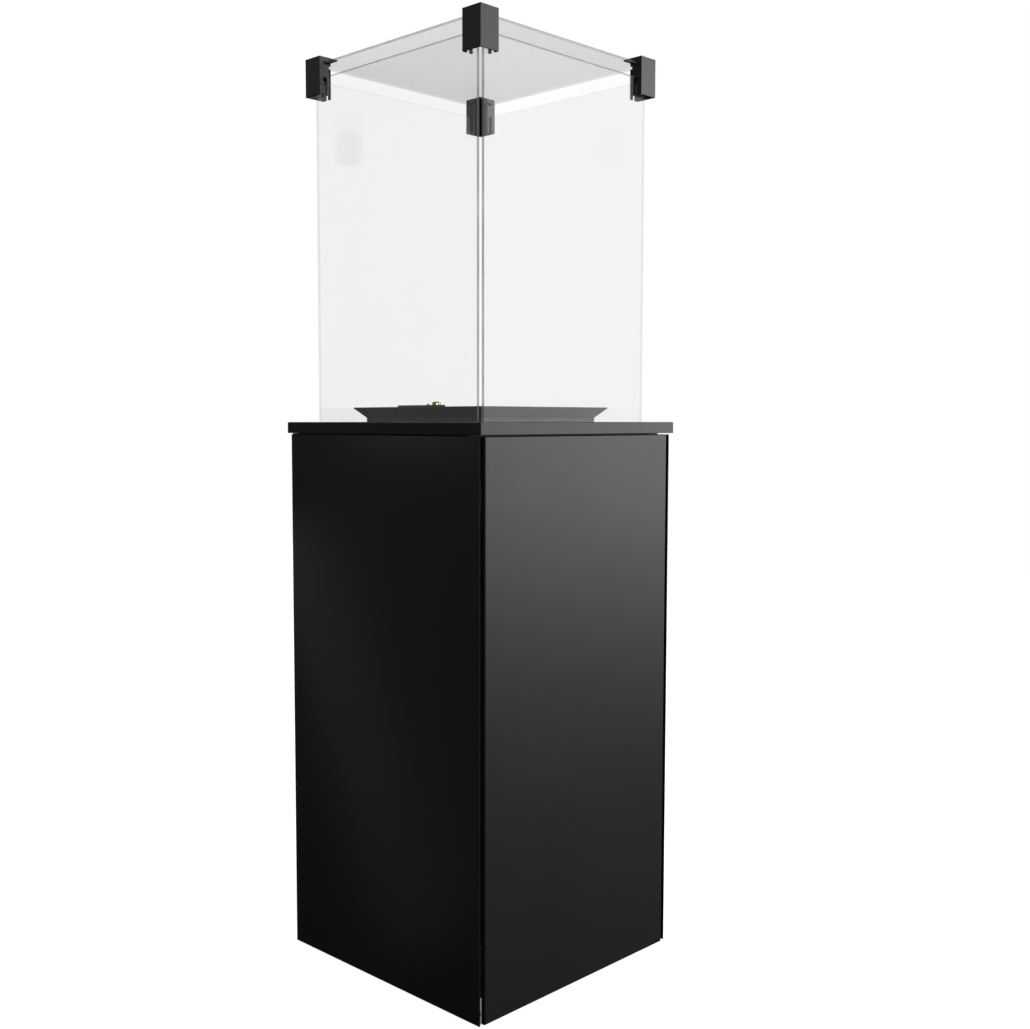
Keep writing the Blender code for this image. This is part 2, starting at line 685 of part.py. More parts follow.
def heat_shield():
    half = frame_half - TOP_FRAME_SHEET - GAP
    front = frame_front + TOP_FRAME_SHEET + GAP
    shield = pan("heat_shield", (-half, front, shield_bottom), (half, half, shield_bottom + SHIELD_WALL),
                 (0, 0, 1), SHIELD_SHEET, GALVANISED)
    shape(shield, upright_hole("shield_neck_hole", (0, 0), shield_bottom, NECK_RADIUS + SHIELD_HOLE))
    return shape(shield, lead_slot("shield_lead_slot", shield_bottom))


def burner():
    low, crown = burner_top - BURNER_HEIGHT, BURNER_CROWN
    profile = [(0, burner_top), (BURNER_RADIUS * 0.6, burner_top - crown * 0.4),
               (BURNER_RADIUS - crown, burner_top - crown), (BURNER_RADIUS, burner_top - 2 * crown),
               (BURNER_RADIUS, low + crown / 2), (BURNER_RADIUS - crown, low),
               (NECK_RADIUS + crown, low - crown), (NECK_RADIUS, low - 2 * crown), (NECK_RADIUS, neck_bottom)]
    made = turned("burner", profile, (0, 0, 0), STAINLESS, 28)
    thicken = made.modifiers.new("sheet", "SOLIDIFY")
    thicken.thickness = BURNER_SHEET
    thicken.offset = -1
    return made


def injector_elbow():
    """A brass elbow below the burner's neck, with its jet pointing up into it."""
    top, middle = neck_bottom - JET_DROP, neck_bottom - INJECTOR_DROP
    radius = INJECTOR_RADIUS
    upright = rod("elbow_up", (0, 0, middle - radius), (0, 0, top), radius, BRASS, steps=20)
    jet = rod("elbow_jet", (0, 0, top - JET_DROP), (0, 0, neck_bottom + EDGE), radius * 0.45, BRASS, steps=16)
    side = rod("elbow_side", (0, 0, middle), (0, -INJECTOR_SIDE, middle), radius * 0.85, BRASS, steps=20)
    return join("injector_elbow", [upright, jet, side], BRASS)


def pilot_bracket():
    x, sheet = pilot_plate_x, PILOT_SHEET
    low, high = tray_bottom + TRAY_SHEET + GAP, plate_top + PILOT_PLATE_RISE
    outline = [(low, x), (high, x), (high, x + sheet), (pilot_shelf + sheet, x + sheet),
               (pilot_shelf + sheet, x + PILOT_SHELF_DEPTH), (pilot_shelf, x + PILOT_SHELF_DEPTH),
               (pilot_shelf, x + sheet), (low, x + sheet)]
    bracket = prism("pilot_bracket", outline, *PILOT_PLATE_Y, "Y", POWDER)
    for name, y, radius in (("hood", HOOD_Y, PILOT_PIPE_RADIUS * 2), ("thermocouple", THERMOCOUPLE_Y,
                            THERMOCOUPLE_RADIUS), ("electrode", ELECTRODE_Y, ELECTRODE_RADIUS)):
        shape(bracket, upright_hole(f"pilot_hole_{name}", (pilot_x, y), pilot_shelf, radius + LOOSE))
    return bracket


def pilot_hood():
    base, top = pilot_base, pilot_base + HOOD_HEIGHT
    stem, cap, waist = PILOT_PIPE_RADIUS * 2, HOOD_RADIUS, HOOD_RADIUS - 2 * EDGE
    slit_top, slit_bottom, end = top - 8 * EDGE, base + 6 * EDGE, base - PILOT_STEMS["hood"]
    profile = [(0, top), (waist, top), (cap, top - 2 * EDGE), (cap, slit_top), (waist, slit_top),
               (waist, slit_bottom), (cap, slit_bottom), (cap, base), (stem, base), (stem, end), (0, end)]
    return turned("pilot_hood", profile, (pilot_x, HOOD_Y, 0), BRASS, 24)


def thermocouple():
    base, top = pilot_base, pilot_base + THERMOCOUPLE_HEIGHT
    body, nut, end = THERMOCOUPLE_RADIUS, THERMOCOUPLE_RADIUS + 2 * EDGE, base - PILOT_STEMS["thermocouple"]
    profile = [(0, top), (body - EDGE, top - EDGE / 2), (body, top - 2 * EDGE), (body, base + 4 * EDGE),
               (nut, base + 4 * EDGE), (nut, base), (body, base), (body, end), (0, end)]
    return turned("thermocouple", profile, (pilot_x, THERMOCOUPLE_Y, 0), STAINLESS, 20)


def spark_electrode():
    base, top = pilot_base, pilot_base + ELECTRODE_HEIGHT
    body, nut, wire = ELECTRODE_RADIUS, ELECTRODE_RADIUS + 1.5 * EDGE, ELECTRODE_WIRE
    end = base - PILOT_STEMS["electrode"]
    profile = [(0, top), (wire, top), (wire, base + 8 * EDGE), (body, base + 7 * EDGE),
               (body, base + 3 * EDGE), (nut, base + 3 * EDGE), (nut, base), (body, base), (body, end),
               (0, end)]
    return turned("spark_electrode", profile, (pilot_x, ELECTRODE_Y, 0), CERAMIC, 20)


def valve_bracket():
    y, sheet, top = bracket_y, BRACKET_SHEET, bracket_top
    outline = [(y, bracket_bottom), (y + sheet, bracket_bottom), (y + sheet, top - sheet),
               (y + BRACKET_FLANGE, top - sheet), (y + BRACKET_FLANGE, top), (y, top)]
    ends = (receiver_left - BRACKET_PAST[0], valve_right + BRACKET_PAST[1])
    return prism("valve_bracket", outline, *ends, "X", GALVANISED)


def gas_valve_body():
    high = valve_bottom + VALVE_SIZE[2]
    pieces = [box("valve_block", (valve_left, valve_front, valve_bottom), (valve_right, bracket_face, high),
                  CAST_ALUMINIUM)]
    for side in (-1, 1):
        x = VALVE_X + side * KNOB_SPREAD / 2
        root = valve_front + COLLAR_LENGTH
        collar_end = valve_front - COLLAR_LENGTH
        spindle_end = collar_end - SPINDLE_LENGTH
        pieces.append(rod(f"valve_collar_{side}", (x, root, fittings_z), (x, collar_end, fittings_z),
                          COLLAR_RADIUS, CAST_ALUMINIUM))
        pieces.append(rod(f"valve_spindle_{side}", (x, root, fittings_z), (x, spindle_end, fittings_z),
                          SPINDLE_RADIUS, CAST_ALUMINIUM, steps=16))
    return join("gas_valve_body", pieces, CAST_ALUMINIUM)


def knob(name, side):
    """A fluted knob, drawn out towards the door, with a blind hole for its spindle."""
    place = Vector((VALVE_X + side * KNOB_SPREAD / 2, knob_back, fittings_z))
    count = KNOB_FLUTES * 4
    outline = []
    for step in range(count):
        angle = 2 * math.pi * step / count
        radius = KNOB_RADIUS - KNOB_FLUTE_DEPTH * (1 - math.cos(KNOB_FLUTES * angle)) / 2
        outline.append((radius * math.cos(angle), radius * math.sin(angle)))
    made = prism(name, outline, -KNOB_LENGTH, 0, "Y", BLACK_PLASTIC)
    made.data.transform(made.matrix_world)
    made.matrix_world = Matrix.Translation(place)
    hole = rod(name + "_bore", place + Vector((0, PAST, 0)), place - Vector((0, SPINDLE_LENGTH, 0)),
               SPINDLE_RADIUS + LOOSE, cutter=True, steps=16)
    return shape(made, hole)


def inlet_nipple():
    radius, nut = NIPPLE_RADIUS, NIPPLE_RADIUS + NIPPLE_NUT
    top = valve_bottom - GAP
    nut_low = top - NIPPLE_NUT_HEIGHT
    neck = nut_low - EDGE - NIPPLE_NECK
    end = top - NIPPLE_LENGTH
    profile = [(0, top), (nut, top), (nut, nut_low), (radius, nut_low - EDGE), (radius, neck),
               (radius - 2 * EDGE, neck - EDGE)]
    for ring in range(NIPPLE_RINGS):
        start = neck - 2 * EDGE - ring * NIPPLE_RING
        profile += [(radius - EDGE, start), (radius - 2 * EDGE, start - NIPPLE_RING + EDGE)]
    profile += [(radius - 3 * EDGE, end), (0, end)]
    return turned("inlet_nipple", profile, (valve_right - NIPPLE_INSET, valve_middle_y, 0), BRASS, 24)


def receiver_case():
    half_height = RECEIVER_SIZE[2] / 2
    case = box("receiver_case", (receiver_left, receiver_front, fittings_z - half_height),
               (receiver_right, bracket_face, fittings_z + half_height), BLACK_PLASTIC)
    soften = case.modifiers.new("rounding", "BEVEL")
    soften.width = 2 * EDGE
    soften.segments = 2
    reach = (SWITCH_SIZE[0] + SWITCH_TRAVEL) / 2 + LOOSE
    tall = SWITCH_SIZE[2] / 2 + LOOSE
    floor = receiver_front + SWITCH_SIZE[1] / 2 + LOOSE
    slot = box("switch_slot", (receiver_x - reach, receiver_front - PAST, fittings_z - tall),
               (receiver_x + reach, floor, fittings_z + tall), cutter=True)
    return shape(case, slot)


def receiver_switch():
    wide, deep, tall = SWITCH_SIZE
    start = receiver_x - (wide + SWITCH_TRAVEL) / 2
    return box("receiver_switch", (start, receiver_front - deep / 2, fittings_z - tall / 2),
               (start + wide, receiver_front + deep / 2, fittings_z + tall / 2), BLACK_PLASTIC)


def feed_pipe():
    end = Vector((0, -INJECTOR_SIDE - PIPE_GAP, neck_bottom - INJECTOR_DROP))
    start = Vector((valve_left + FEED_PIPE_INSET, valve_middle_y, valve_bottom - PIPE_GAP))
    sag = valve_bottom - 30 * MM
    route = [start, start - Vector((0, 0, 14 * MM)), Vector((start.x, bracket_y + 2 * MM, sag)),
             Vector((start.x * 0.27, bracket_y + 32 * MM, sag + 12 * MM)), end - Vector((0, 16 * MM, 0)), end]
    return tube("burner_feed_pipe", route, FEED_PIPE_RADIUS, COPPER)


def pilot_line(name, start, to_y, stem, dip, aside, radius, finish):
    """A pipe or lead from a start point, down under the bracket, up behind it and through the lead slots."""
    behind = pilot_x + aside
    route = [start, start - Vector((0, 0, 10 * MM)),
             Vector(((start.x + behind) / 2, bracket_y, bracket_bottom - dip)),
             Vector((behind, bracket_y + 12 * MM, bracket_bottom + 4 * MM)),
             Vector((pilot_x, to_y - 26 * MM, shield_bottom - 24 * MM)),
             Vector((pilot_x, to_y, shield_bottom - 4 * MM)),
             Vector((pilot_x, to_y, pilot_base - stem - PIPE_GAP))]
    return tube(name, route, radius, finish)


def pilot_lines():
    under_valve = valve_bottom - PIPE_GAP
    under_receiver = fittings_z - RECEIVER_SIZE[2] / 2 - PIPE_GAP
    pipe_start = Vector((valve_left + PILOT_PIPE_INSET, valve_middle_y, under_valve))
    sensor_start = Vector((valve_left + SENSOR_INSET, valve_middle_y, under_valve))
    spark_start = Vector((receiver_x + RECEIVER_LEAD[0], bracket_face - RECEIVER_LEAD[1], under_receiver))
    pilot_line("pilot_pipe", pipe_start, HOOD_Y, PILOT_STEMS["hood"], 20 * MM, 0, PILOT_PIPE_RADIUS,
               CAST_ALUMINIUM)
    pilot_line("thermocouple_lead", sensor_start, THERMOCOUPLE_Y, PILOT_STEMS["thermocouple"], 4 * MM,
               LEAD_SPREAD, THIN_LEAD_RADIUS, COPPER)
    pilot_line("ignition_lead", spark_start, ELECTRODE_Y, PILOT_STEMS["electrode"], 8 * MM, -LEAD_SPREAD,
               THIN_LEAD_RADIUS, RED_SILICONE)


def door_panel():
    back = -half_side + DOOR_DEPTH
    return pan("door_panel", (-door_half, -half_side, PANEL_BOTTOM), (door_half, back, panel_top), (0, 1, 0),
               DOOR_SHEET, POWDER)


def hinge_levels(end):
    """Heights of the arm, the pivot tab and the pin's far end. end is -1 at the bottom and 1 at the top."""
    arm = ARM_LEVEL[end] + (POST_BOTTOM if end < 0 else post_top)
    return arm, arm - end * PIVOT_TAB_RISE, arm - end * (PIVOT_TAB_RISE + PIN_PAST)


def hinge_arm(name, end):
    """A fixed arm from the frame, cranked past the turning door edge, with a round end on the hinge axis."""
    arm = hinge_levels(end)[0]
    x, y = pivot
    low, high = sorted((arm, arm + end * ARM_SHEET))
    right = x - ARM_OFFSET
    left = right - ARM_WIDTH
    root = frame_front - GAP
    arc = [math.pi * step / 8 for step in range(9)]
    outline = [(left, root), (left, y - eye_radius)]
    outline += [(x + eye_radius * math.sin(a), y - eye_radius * math.cos(a)) for a in arc]
    outline += [(right, y + eye_radius), (right, root)]
    plate = prism(name + "_plate", outline, low, high, "Z", GALVANISED)
    foot, head = (low, low + ARM_FLANGE) if end < 0 else (high - ARM_FLANGE, high)
    flange = box(name + "_flange", (left, root - ARM_SHEET, foot), (right, root, head), GALVANISED)
    return join(name, [plate, flange], GALVANISED)


def hinge_pin(name, end):
    arm, _, far = hinge_levels(end)
    bottom, top = sorted((arm - end * GAP, far))
    chamfer = EDGE / 2
    profile = [(0, top), (PIN_RADIUS - chamfer, top), (PIN_RADIUS, top - chamfer),
               (PIN_RADIUS, bottom + chamfer), (PIN_RADIUS - chamfer, bottom), (0, bottom)]
    return turned(name, profile, (*pivot, 0), STAINLESS, 24)


def door_pivot_plate(name, end):
    """An angle inside the door, with a tab that turns on the pin."""
    tab = hinge_levels(end)[1]
    x, y = pivot
    long, tall = PIVOT_LEG
    low, high = sorted((tab, tab - end * ARM_SHEET))
    leg_low, leg_high = (low, low + tall) if end < 0 else (high - tall, high)
    right = x + eye_radius
    leg = box(name + "_leg", (right - long, door_back, leg_low), (right, door_back + PIVOT_SHEET, leg_high),
              GALVANISED)
    shelf = box(name + "_tab", (x - PIVOT_TAB_PAST[0], door_back, low), (right, y + PIVOT_TAB_PAST[1], high),
                GALVANISED)
    plate = join(name, [leg, shelf], GALVANISED)
    return shape(plate, upright_hole(name + "_eye", pivot, tab, PIN_RADIUS + GAP))


def catch_height(level):
    return PANEL_BOTTOM + CATCH_IN["lower"] if level == "lower" else panel_top - CATCH_IN["upper"]


def catch_left():
    return -frame_half + POST_LEG - CATCH_SIZE[0] - LOOSE


def magnet_catch(name, height):
    wide, tall = CATCH_SIZE
    front = door_back + STRIKER_SHEET + LOOSE
    made = box(name, (catch_left(), front, height - tall / 2),
               (catch_left() + wide, frame_front - GAP, height + tall / 2), BLACK_PLASTIC)
    soften = made.modifiers.new("rounding", "BEVEL")
    soften.width = EDGE
    soften.segments = 1
    return made


def striker_plate(name, height):
    wide, tall = CATCH_SIZE
    return box(name, (catch_left() - STRIKER_PAST, door_back, height - tall / 2),
               (catch_left() + wide + STRIKER_PAST, door_back + STRIKER_SHEET, height + tall / 2), GALVANISED)


def build():
    side_panel("side_panel_left", -1)
    side_panel("side_panel_right", 1)
    back_panel()
    for row, end in (("front", -1), ("rear", 1)):
        frame_post(f"frame_post_{row}_left", -1, end)
        frame_post(f"frame_post_{row}_right", 1, end)
    base_plate()
    for name, (x, y) in foot_places().items():
        levelling_foot(f"levelling_foot_{name}", x, y)
    top_frame()
    top_plate()
    burner_deck()
    sides = ("front", "right", "rear", "left")
    quarter_turns(glass_channel(), [f"glass_channel_{side}" for side in sides])
    quarter_turns(glass_pane(), [f"glass_pane_{side}" for side in sides])
    glass_lid()
    corners = ("front_left", "front_right", "rear_right", "rear_left")
    quarter_turns(corner_clip(), [f"corner_clip_{corner}" for corner in corners])
    burner_tray()
    heat_shield()
    burner()
    injector_elbow()
    pilot_bracket()
    pilot_hood()
    thermocouple()
    spark_electrode()
    valve_bracket()
    gas_valve_body()
    knob("manual_knob", -1)
    knob("flame_knob", 1)
    inlet_nipple()
    receiver_case()
    receiver_switch()
    feed_pipe()
    pilot_lines()
    on_door = [door_panel()]
    for level, end in (("lower", -1), ("upper", 1)):
        hinge_arm(f"hinge_arm_{level}", end)
        hinge_pin(f"hinge_pin_{level}", end)
        magnet_catch(f"magnet_catch_{level}", catch_height(level))
        on_door.append(door_pivot_plate(f"door_pivot_plate_{level}", end))
        on_door.append(striker_plate(f"striker_plate_{level}", catch_height(level)))
    hang_on("door_axis", (*pivot, 0), on_door)


build()
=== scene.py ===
import json
import math

import bmesh
import bpy
from mathutils import Matrix, Vector

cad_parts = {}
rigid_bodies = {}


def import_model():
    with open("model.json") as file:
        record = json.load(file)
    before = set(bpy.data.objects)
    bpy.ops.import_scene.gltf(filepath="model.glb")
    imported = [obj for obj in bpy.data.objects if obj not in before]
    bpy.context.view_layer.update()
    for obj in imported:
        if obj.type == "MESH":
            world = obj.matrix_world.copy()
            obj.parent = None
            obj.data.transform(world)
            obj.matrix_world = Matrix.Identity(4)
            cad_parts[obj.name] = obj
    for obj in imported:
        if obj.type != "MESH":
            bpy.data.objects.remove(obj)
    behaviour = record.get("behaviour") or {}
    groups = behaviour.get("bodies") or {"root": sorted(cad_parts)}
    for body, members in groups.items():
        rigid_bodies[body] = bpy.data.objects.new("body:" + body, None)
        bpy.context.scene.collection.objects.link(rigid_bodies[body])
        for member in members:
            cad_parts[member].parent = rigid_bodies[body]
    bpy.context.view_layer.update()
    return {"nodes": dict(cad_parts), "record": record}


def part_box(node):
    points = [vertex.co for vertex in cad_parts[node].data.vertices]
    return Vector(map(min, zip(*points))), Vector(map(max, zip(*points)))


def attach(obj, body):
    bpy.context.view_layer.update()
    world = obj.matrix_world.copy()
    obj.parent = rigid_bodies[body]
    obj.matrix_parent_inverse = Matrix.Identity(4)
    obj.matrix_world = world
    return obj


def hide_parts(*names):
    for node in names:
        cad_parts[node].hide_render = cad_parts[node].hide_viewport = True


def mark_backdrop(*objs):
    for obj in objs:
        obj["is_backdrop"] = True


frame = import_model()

nodes = frame["nodes"]
record = frame["record"]
bodyOf = {name: body for body, names in record["behaviour"]["bodies"].items() for name in names}
scene = bpy.context.scene
mm = 0.001


class Value:  # one socket of a material, so that shader maths reads as plain sums
    def __init__(self, finish, socket):
        self.finish, self.socket = finish, socket

    def sibling(self, out):  # another output of the same node
        return Value(self.finish, self.socket.node.outputs[out])

    def maths(self, operation, first, second=0.0):
        return self.finish.maths(operation, first, second)

    def __add__(self, other):
        return self.maths("ADD", self, other)

    def __radd__(self, other):
        return self.maths("ADD", other, self)

    def __sub__(self, other):
        return self.maths("SUBTRACT", self, other)

    def __rsub__(self, other):
        return self.maths("SUBTRACT", other, self)

    def __mul__(self, other):
        return self.maths("MULTIPLY", self, other)

    def __rmul__(self, other):
        return self.maths("MULTIPLY", other, self)

    def __pow__(self, other):
        return self.maths("POWER", self, other)


class Finish:  # a material being made
    def __init__(self, name):
        self.material = bpy.data.materials.new(name)
        self.material.use_nodes = True
        self.tree = self.material.node_tree
        self.tree.nodes.clear()
        self.end = self.tree.nodes.new("ShaderNodeOutputMaterial")
        self.place = self.add("TexCoord", out="Object")

    def add(self, kind, settings=None, sockets=None, out=0):
        node = self.tree.nodes.new("ShaderNode" + kind)
        for key, setting in (settings or {}).items():
            if key == "stops":
                for stop, (position, colour) in zip(node.color_ramp.elements, setting):
                    stop.position, stop.color = position, colour
            else:
                setattr(node, key, setting)
        for key, given in (sockets or {}).items():
            if isinstance(given, Value):
                self.tree.links.new(given.socket, node.inputs[key])
            else:
                node.inputs[key].default_value = given
        return Value(self, node.outputs[out])

    def maths(self, operation, first, second=0.0):
        return self.add("Math", {"operation": operation}, {0: first, 1: second})

    def noise(self, scale, detail=2.0, stretch=None):
        place = self.place
        if stretch:
            place = self.add("Mapping", None, {"Vector": self.place, "Scale": stretch})
        return self.add("TexNoise", None, {"Vector": place, "Scale": scale, "Detail": detail})

    def step(self, value, low, high):  # 0 below low, 1 above high
        return self.add("MapRange", {"clamp": True}, {"Value": value, "From Min": low, "From Max": high})

    def blend(self, share, first, second):
        colours = {0: share, 6: colourOf(first), 7: colourOf(second)}
        return self.add("Mix", {"data_type": "RGBA"}, colours, out=2)

    def bump(self, height, strength, depth):
        return self.add("Bump", None, {"Height": height, "Strength": strength, "Distance": depth})

    def principled(self, sockets):
        return self.add("BsdfPrincipled", None, sockets)

    def finished(self, shader):
        self.tree.links.new(shader.socket, self.end.inputs["Surface"])
        return self.material


def colourOf(given):
    return given if isinstance(given, Value) or len(given) == 4 else (*given, 1.0)


powderLook = {
    "colour": (0.0105, 0.0105, 0.0110),
    "paler": (0.0150, 0.0150, 0.0155),
    "roughness": 0.46,
    "cloud": 5.0,  # per metre, slow changes of gloss
    "grain": 900.0,  # per metre, the fine texture of the powder
    "grainDepth": 0.03 * mm,
}


def powderCoat(name, look):
    finish = Finish(name)
    grain = finish.noise(look["grain"], 3.0)
    cloud = finish.noise(look["cloud"], 4.0)
    speck = finish.step(finish.noise(look["grain"] * 0.6, 1.0), 0.62, 0.74)
    colour = finish.blend(speck * 0.6 + cloud * 0.3, look["colour"], look["paler"])
    roughness = look["roughness"] + (cloud - 0.5) * 0.10 + (grain - 0.5) * 0.06
    return finish.finished(finish.principled({
        "Base Color": colour, "Roughness": roughness, "IOR": 1.5,
        "Normal": finish.bump(grain, 0.25, look["grainDepth"])}))


sheetLook = {"colour": (0.50, 0.51, 0.52), "paler": (0.66, 0.67, 0.68), "roughness": 0.38, "spangle": 90.0}


def galvanisedSheet(name, look):
    finish = Finish(name)
    spangle = finish.add("TexVoronoi", None, {"Vector": finish.place, "Scale": look["spangle"]}, out="Color")
    tone = finish.add("SeparateColor", None, {"Color": spangle})
    scuff = finish.noise(40.0, 5.0, (1.0, 1.0, 0.15))
    colour = finish.blend(tone * 0.7 + scuff * 0.3, look["colour"], look["paler"])
    roughness = look["roughness"] + tone * 0.12 + (scuff - 0.5) * 0.15
    return finish.finished(finish.principled({
        "Base Color": colour, "Roughness": roughness, "Metallic": 1.0,
        "Normal": finish.bump(scuff, 0.15, 0.05 * mm)}))


metalLooks = {
    "stainless": {"colour": (0.56, 0.55, 0.53), "other": (0.46, 0.43, 0.39), "roughness": 0.26,
                  "streak": (6.0, 6.0, 160.0), "depth": 0.01 * mm},
    "brass": {"colour": (0.62, 0.42, 0.16), "other": (0.50, 0.32, 0.12), "roughness": 0.24,
              "streak": (30.0, 30.0, 400.0), "depth": 0.01 * mm},
    "copper": {"colour": (0.70, 0.33, 0.19), "other": (0.48, 0.20, 0.12), "roughness": 0.30,
               "streak": (40.0, 40.0, 40.0), "depth": 0.01 * mm},
    "castAluminium": {"colour": (0.58, 0.58, 0.59), "other": (0.48, 0.48, 0.49), "roughness": 0.48,
                      "streak": (700.0, 700.0, 700.0), "depth": 0.05 * mm},
}


def bareMetal(name, look):
    finish = Finish(name)
    streak = finish.noise(1.0, 3.0, look["streak"])
    tarnish = finish.step(finish.noise(35.0, 4.0), 0.35, 0.75)
    colour = finish.blend(tarnish * 0.6 + streak * 0.2, look["colour"], look["other"])
    roughness = look["roughness"] + tarnish * 0.10 + (streak - 0.5) * 0.12
    return finish.finished(finish.principled({
        "Base Color": colour, "Roughness": roughness, "Metallic": 1.0,
        "Normal": finish.bump(streak, 0.3, look["depth"])}))


plasticLooks = {
    "black": {"colour": (0.022, 0.022, 0.023), "paler": (0.035, 0.035, 0.036), "roughness": 0.52,
              "grain": 1800.0, "depth": 0.05 * mm},
    "ceramic": {"colour": (0.80, 0.77, 0.70), "paler": (0.86, 0.84, 0.79), "roughness": 0.28,
                "grain": 300.0, "depth": 0.01 * mm},
    "sleeve": {"colour": (0.30, 0.045, 0.03), "paler": (0.38, 0.07, 0.05), "roughness": 0.5,
               "grain": 600.0, "depth": 0.02 * mm},
    "mark": {"colour": (0.70, 0.70, 0.68), "paler": (0.80, 0.80, 0.78), "roughness": 0.45,
             "grain": 900.0, "depth": 0.01 * mm},
    # cut sheet edges: near-black like the coat and darker still, a painted shade
    "cutEdge": {"colour": (0.006, 0.006, 0.006), "paler": (0.010, 0.010, 0.010), "roughness": 0.85,
                "grain": 900.0, "depth": 0.02 * mm},
}


def moulded(name, look):
    finish = Finish(name)
    grain = finish.noise(look["grain"], 3.0)
    cloud = finish.noise(look["grain"] * 0.02, 3.0)
    return finish.finished(finish.principled({
        "Base Color": finish.blend(cloud, look["colour"], look["paler"]),
        "Roughness": look["roughness"] + (cloud - 0.5) * 0.1 + (grain - 0.5) * 0.08,
        "Normal": finish.bump(grain, 0.3, look["depth"])}))


glassLooks = {
    "pane": {"tint": (0.987, 0.990, 0.991), "straight": 0.040, "grazing": 1.0, "haze": 0.012},
    "lid": {"tint": (0.970, 0.973, 0.978), "straight": 0.045, "grazing": 0.60, "haze": 0.012},
}


def clearGlass(name, look):
    finish = Finish(name)
    facing = finish.add("LayerWeight", None, {"Blend": 0.5}, out="Facing")
    wipe = finish.noise(3.0, 5.0, (1.0, 1.0, 0.4))  # faint traces of wiping
    clear = finish.add("BsdfTransparent", None, {"Color": colourOf(look["tint"])})
    dust = finish.principled({"Base Color": (0.85, 0.86, 0.86, 1.0), "Roughness": 0.5})
    mirror = finish.principled({
        "Base Color": (1.0, 1.0, 1.0, 1.0), "Metallic": 1.0, "Roughness": 0.015 + wipe * 0.03})
    hazy = finish.add("MixShader", None, {0: (0.4 + wipe * 1.2) * look["haze"], 1: clear, 2: dust})
    share = look["straight"] + (facing ** 5.0) * (look["grazing"] - look["straight"])
    return finish.finished(finish.add("MixShader", None, {0: share, 1: hazy, 2: mirror}))


edgeGlass = {"colour": (0.30, 0.34, 0.325), "paler": (0.48, 0.52, 0.51), "roughness": 0.32}
edgeLooks = {  # one grey-green edge in three shades by nearness to the camera, as painted shade: most open where the rear and right panes meet, darker at the front and left
    "polished": {"open": 0.92, "tint": (0.965, 0.980, 0.975), **edgeGlass},
    "ground": {"open": 0.58, "tint": (0.90, 0.93, 0.92), **edgeGlass},
    "frosted": {"open": 0.42, "tint": (0.90, 0.93, 0.92), **edgeGlass},
}


def groundEdge(name, look):
    finish = Finish(name)
    grind = finish.noise(900.0, 3.0)
    cloud = finish.noise(25.0, 2.0)
    solid = finish.principled({
        "Base Color": finish.blend(cloud, look["colour"], look["paler"]),
        "Roughness": look["roughness"] + (grind - 0.5) * 0.2,
        "Normal": finish.bump(grind, 0.3, 0.03 * mm)})
    clear = finish.add("BsdfTransparent", None, {"Color": colourOf(look["tint"])})
    # the open share is graded by nearness to the camera in edgeLooks: painted shade, with a random cloud on
    # top
    shut = 1.0 - look["open"] - (cloud - 0.5) * (1.0 - look["open"]) * 0.6
    return finish.finished(finish.add("MixShader", None, {0: shut, 1: clear, 2: solid}))


powder = powderCoat("satin_black_powder", powderLook)
galvanised = galvanisedSheet("galvanised_sheet", sheetLook)
stainless = bareMetal("bright_stainless", metalLooks["stainless"])
brass = bareMetal("turned_brass", metalLooks["brass"])
copper = bareMetal("drawn_copper", metalLooks["copper"])
castAluminium = bareMetal("cast_aluminium", metalLooks["castAluminium"])
blackPlastic = moulded("black_plastic", plasticLooks["black"])
ceramic = moulded("glazed_ceramic", plasticLooks["ceramic"])
sleeve = moulded("silicone_sleeve", plasticLooks["sleeve"])
markPaint = moulded("pointer_paint", plasticLooks["mark"])
paneGlass = clearGlass("pane_glass", glassLooks["pane"])
lidGlass = clearGlass("lid_glass", glassLooks["lid"])
glassEdges = [groundEdge("glass_edge_" + grade, look) for grade, look in edgeLooks.items()]
print("materials made")


def addPiece(name, form, finishes, stands=(), body=None):
    # puts a finished form into the scene, riding on its body and standing for its nodes
    mesh = bpy.data.meshes.new(name)
    form.to_mesh(mesh)
    form.free()
    piece = bpy.data.objects.new(name, mesh)
    scene.collection.objects.link(piece)
    for finish in finishes if isinstance(finishes, list) else [finishes]:
        mesh.materials.append(finish)
    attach(piece, body or bodyOf[stands[0]])
    if stands:
        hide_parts(*stands)
    return piece


def soften(piece, width, segments=2, angle=32):
    piece.data.shade_smooth()
    change = piece.modifiers.new("edges", "BEVEL")
    change.width = width
    change.segments = segments
    change.limit_method = "ANGLE"
    change.angle_limit = math.radians(angle)
    change.harden_normals = True
    level = piece.modifiers.new("normals", "WEIGHTED_NORMAL")  # keeps the flat faces flat to the eye
    level.weight = 100
    level.keep_sharp = True
    return piece


def thicken(piece, sheet):
    change = piece.modifiers.new("sheet", "SOLIDIFY")
    change.thickness = sheet
    change.offset = -1
    change.use_even_offset = True
    change.material_offset_rim = len(piece.data.materials) - 1
    return piece


def boxForm(low, high):
    form = bmesh.new()
    bmesh.ops.create_cube(form, size=1)
    bmesh.ops.scale(form, vec=Vector(high) - Vector(low), verts=form.verts)
    bmesh.ops.translate(form, vec=(Vector(high) + Vector(low)) / 2, verts=form.verts)
    return form


def cleanForm(node):  # the node's own shape with its flat faces whole again
    form = bmesh.new()
    form.from_mesh(nodes[node].data)
    bmesh.ops.remove_doubles(form, verts=form.verts, dist=0.01 * mm)
    bmesh.ops.dissolve_limit(form, angle_limit=math.radians(1), verts=form.verts, edges=form.edges)
    for face in form.faces:
        face.material_index = 0
    return form


def formed(node, finish, width, segments=2):
    return soften(addPiece(node + "_formed", cleanForm(node), finish, [node]), width, segments)


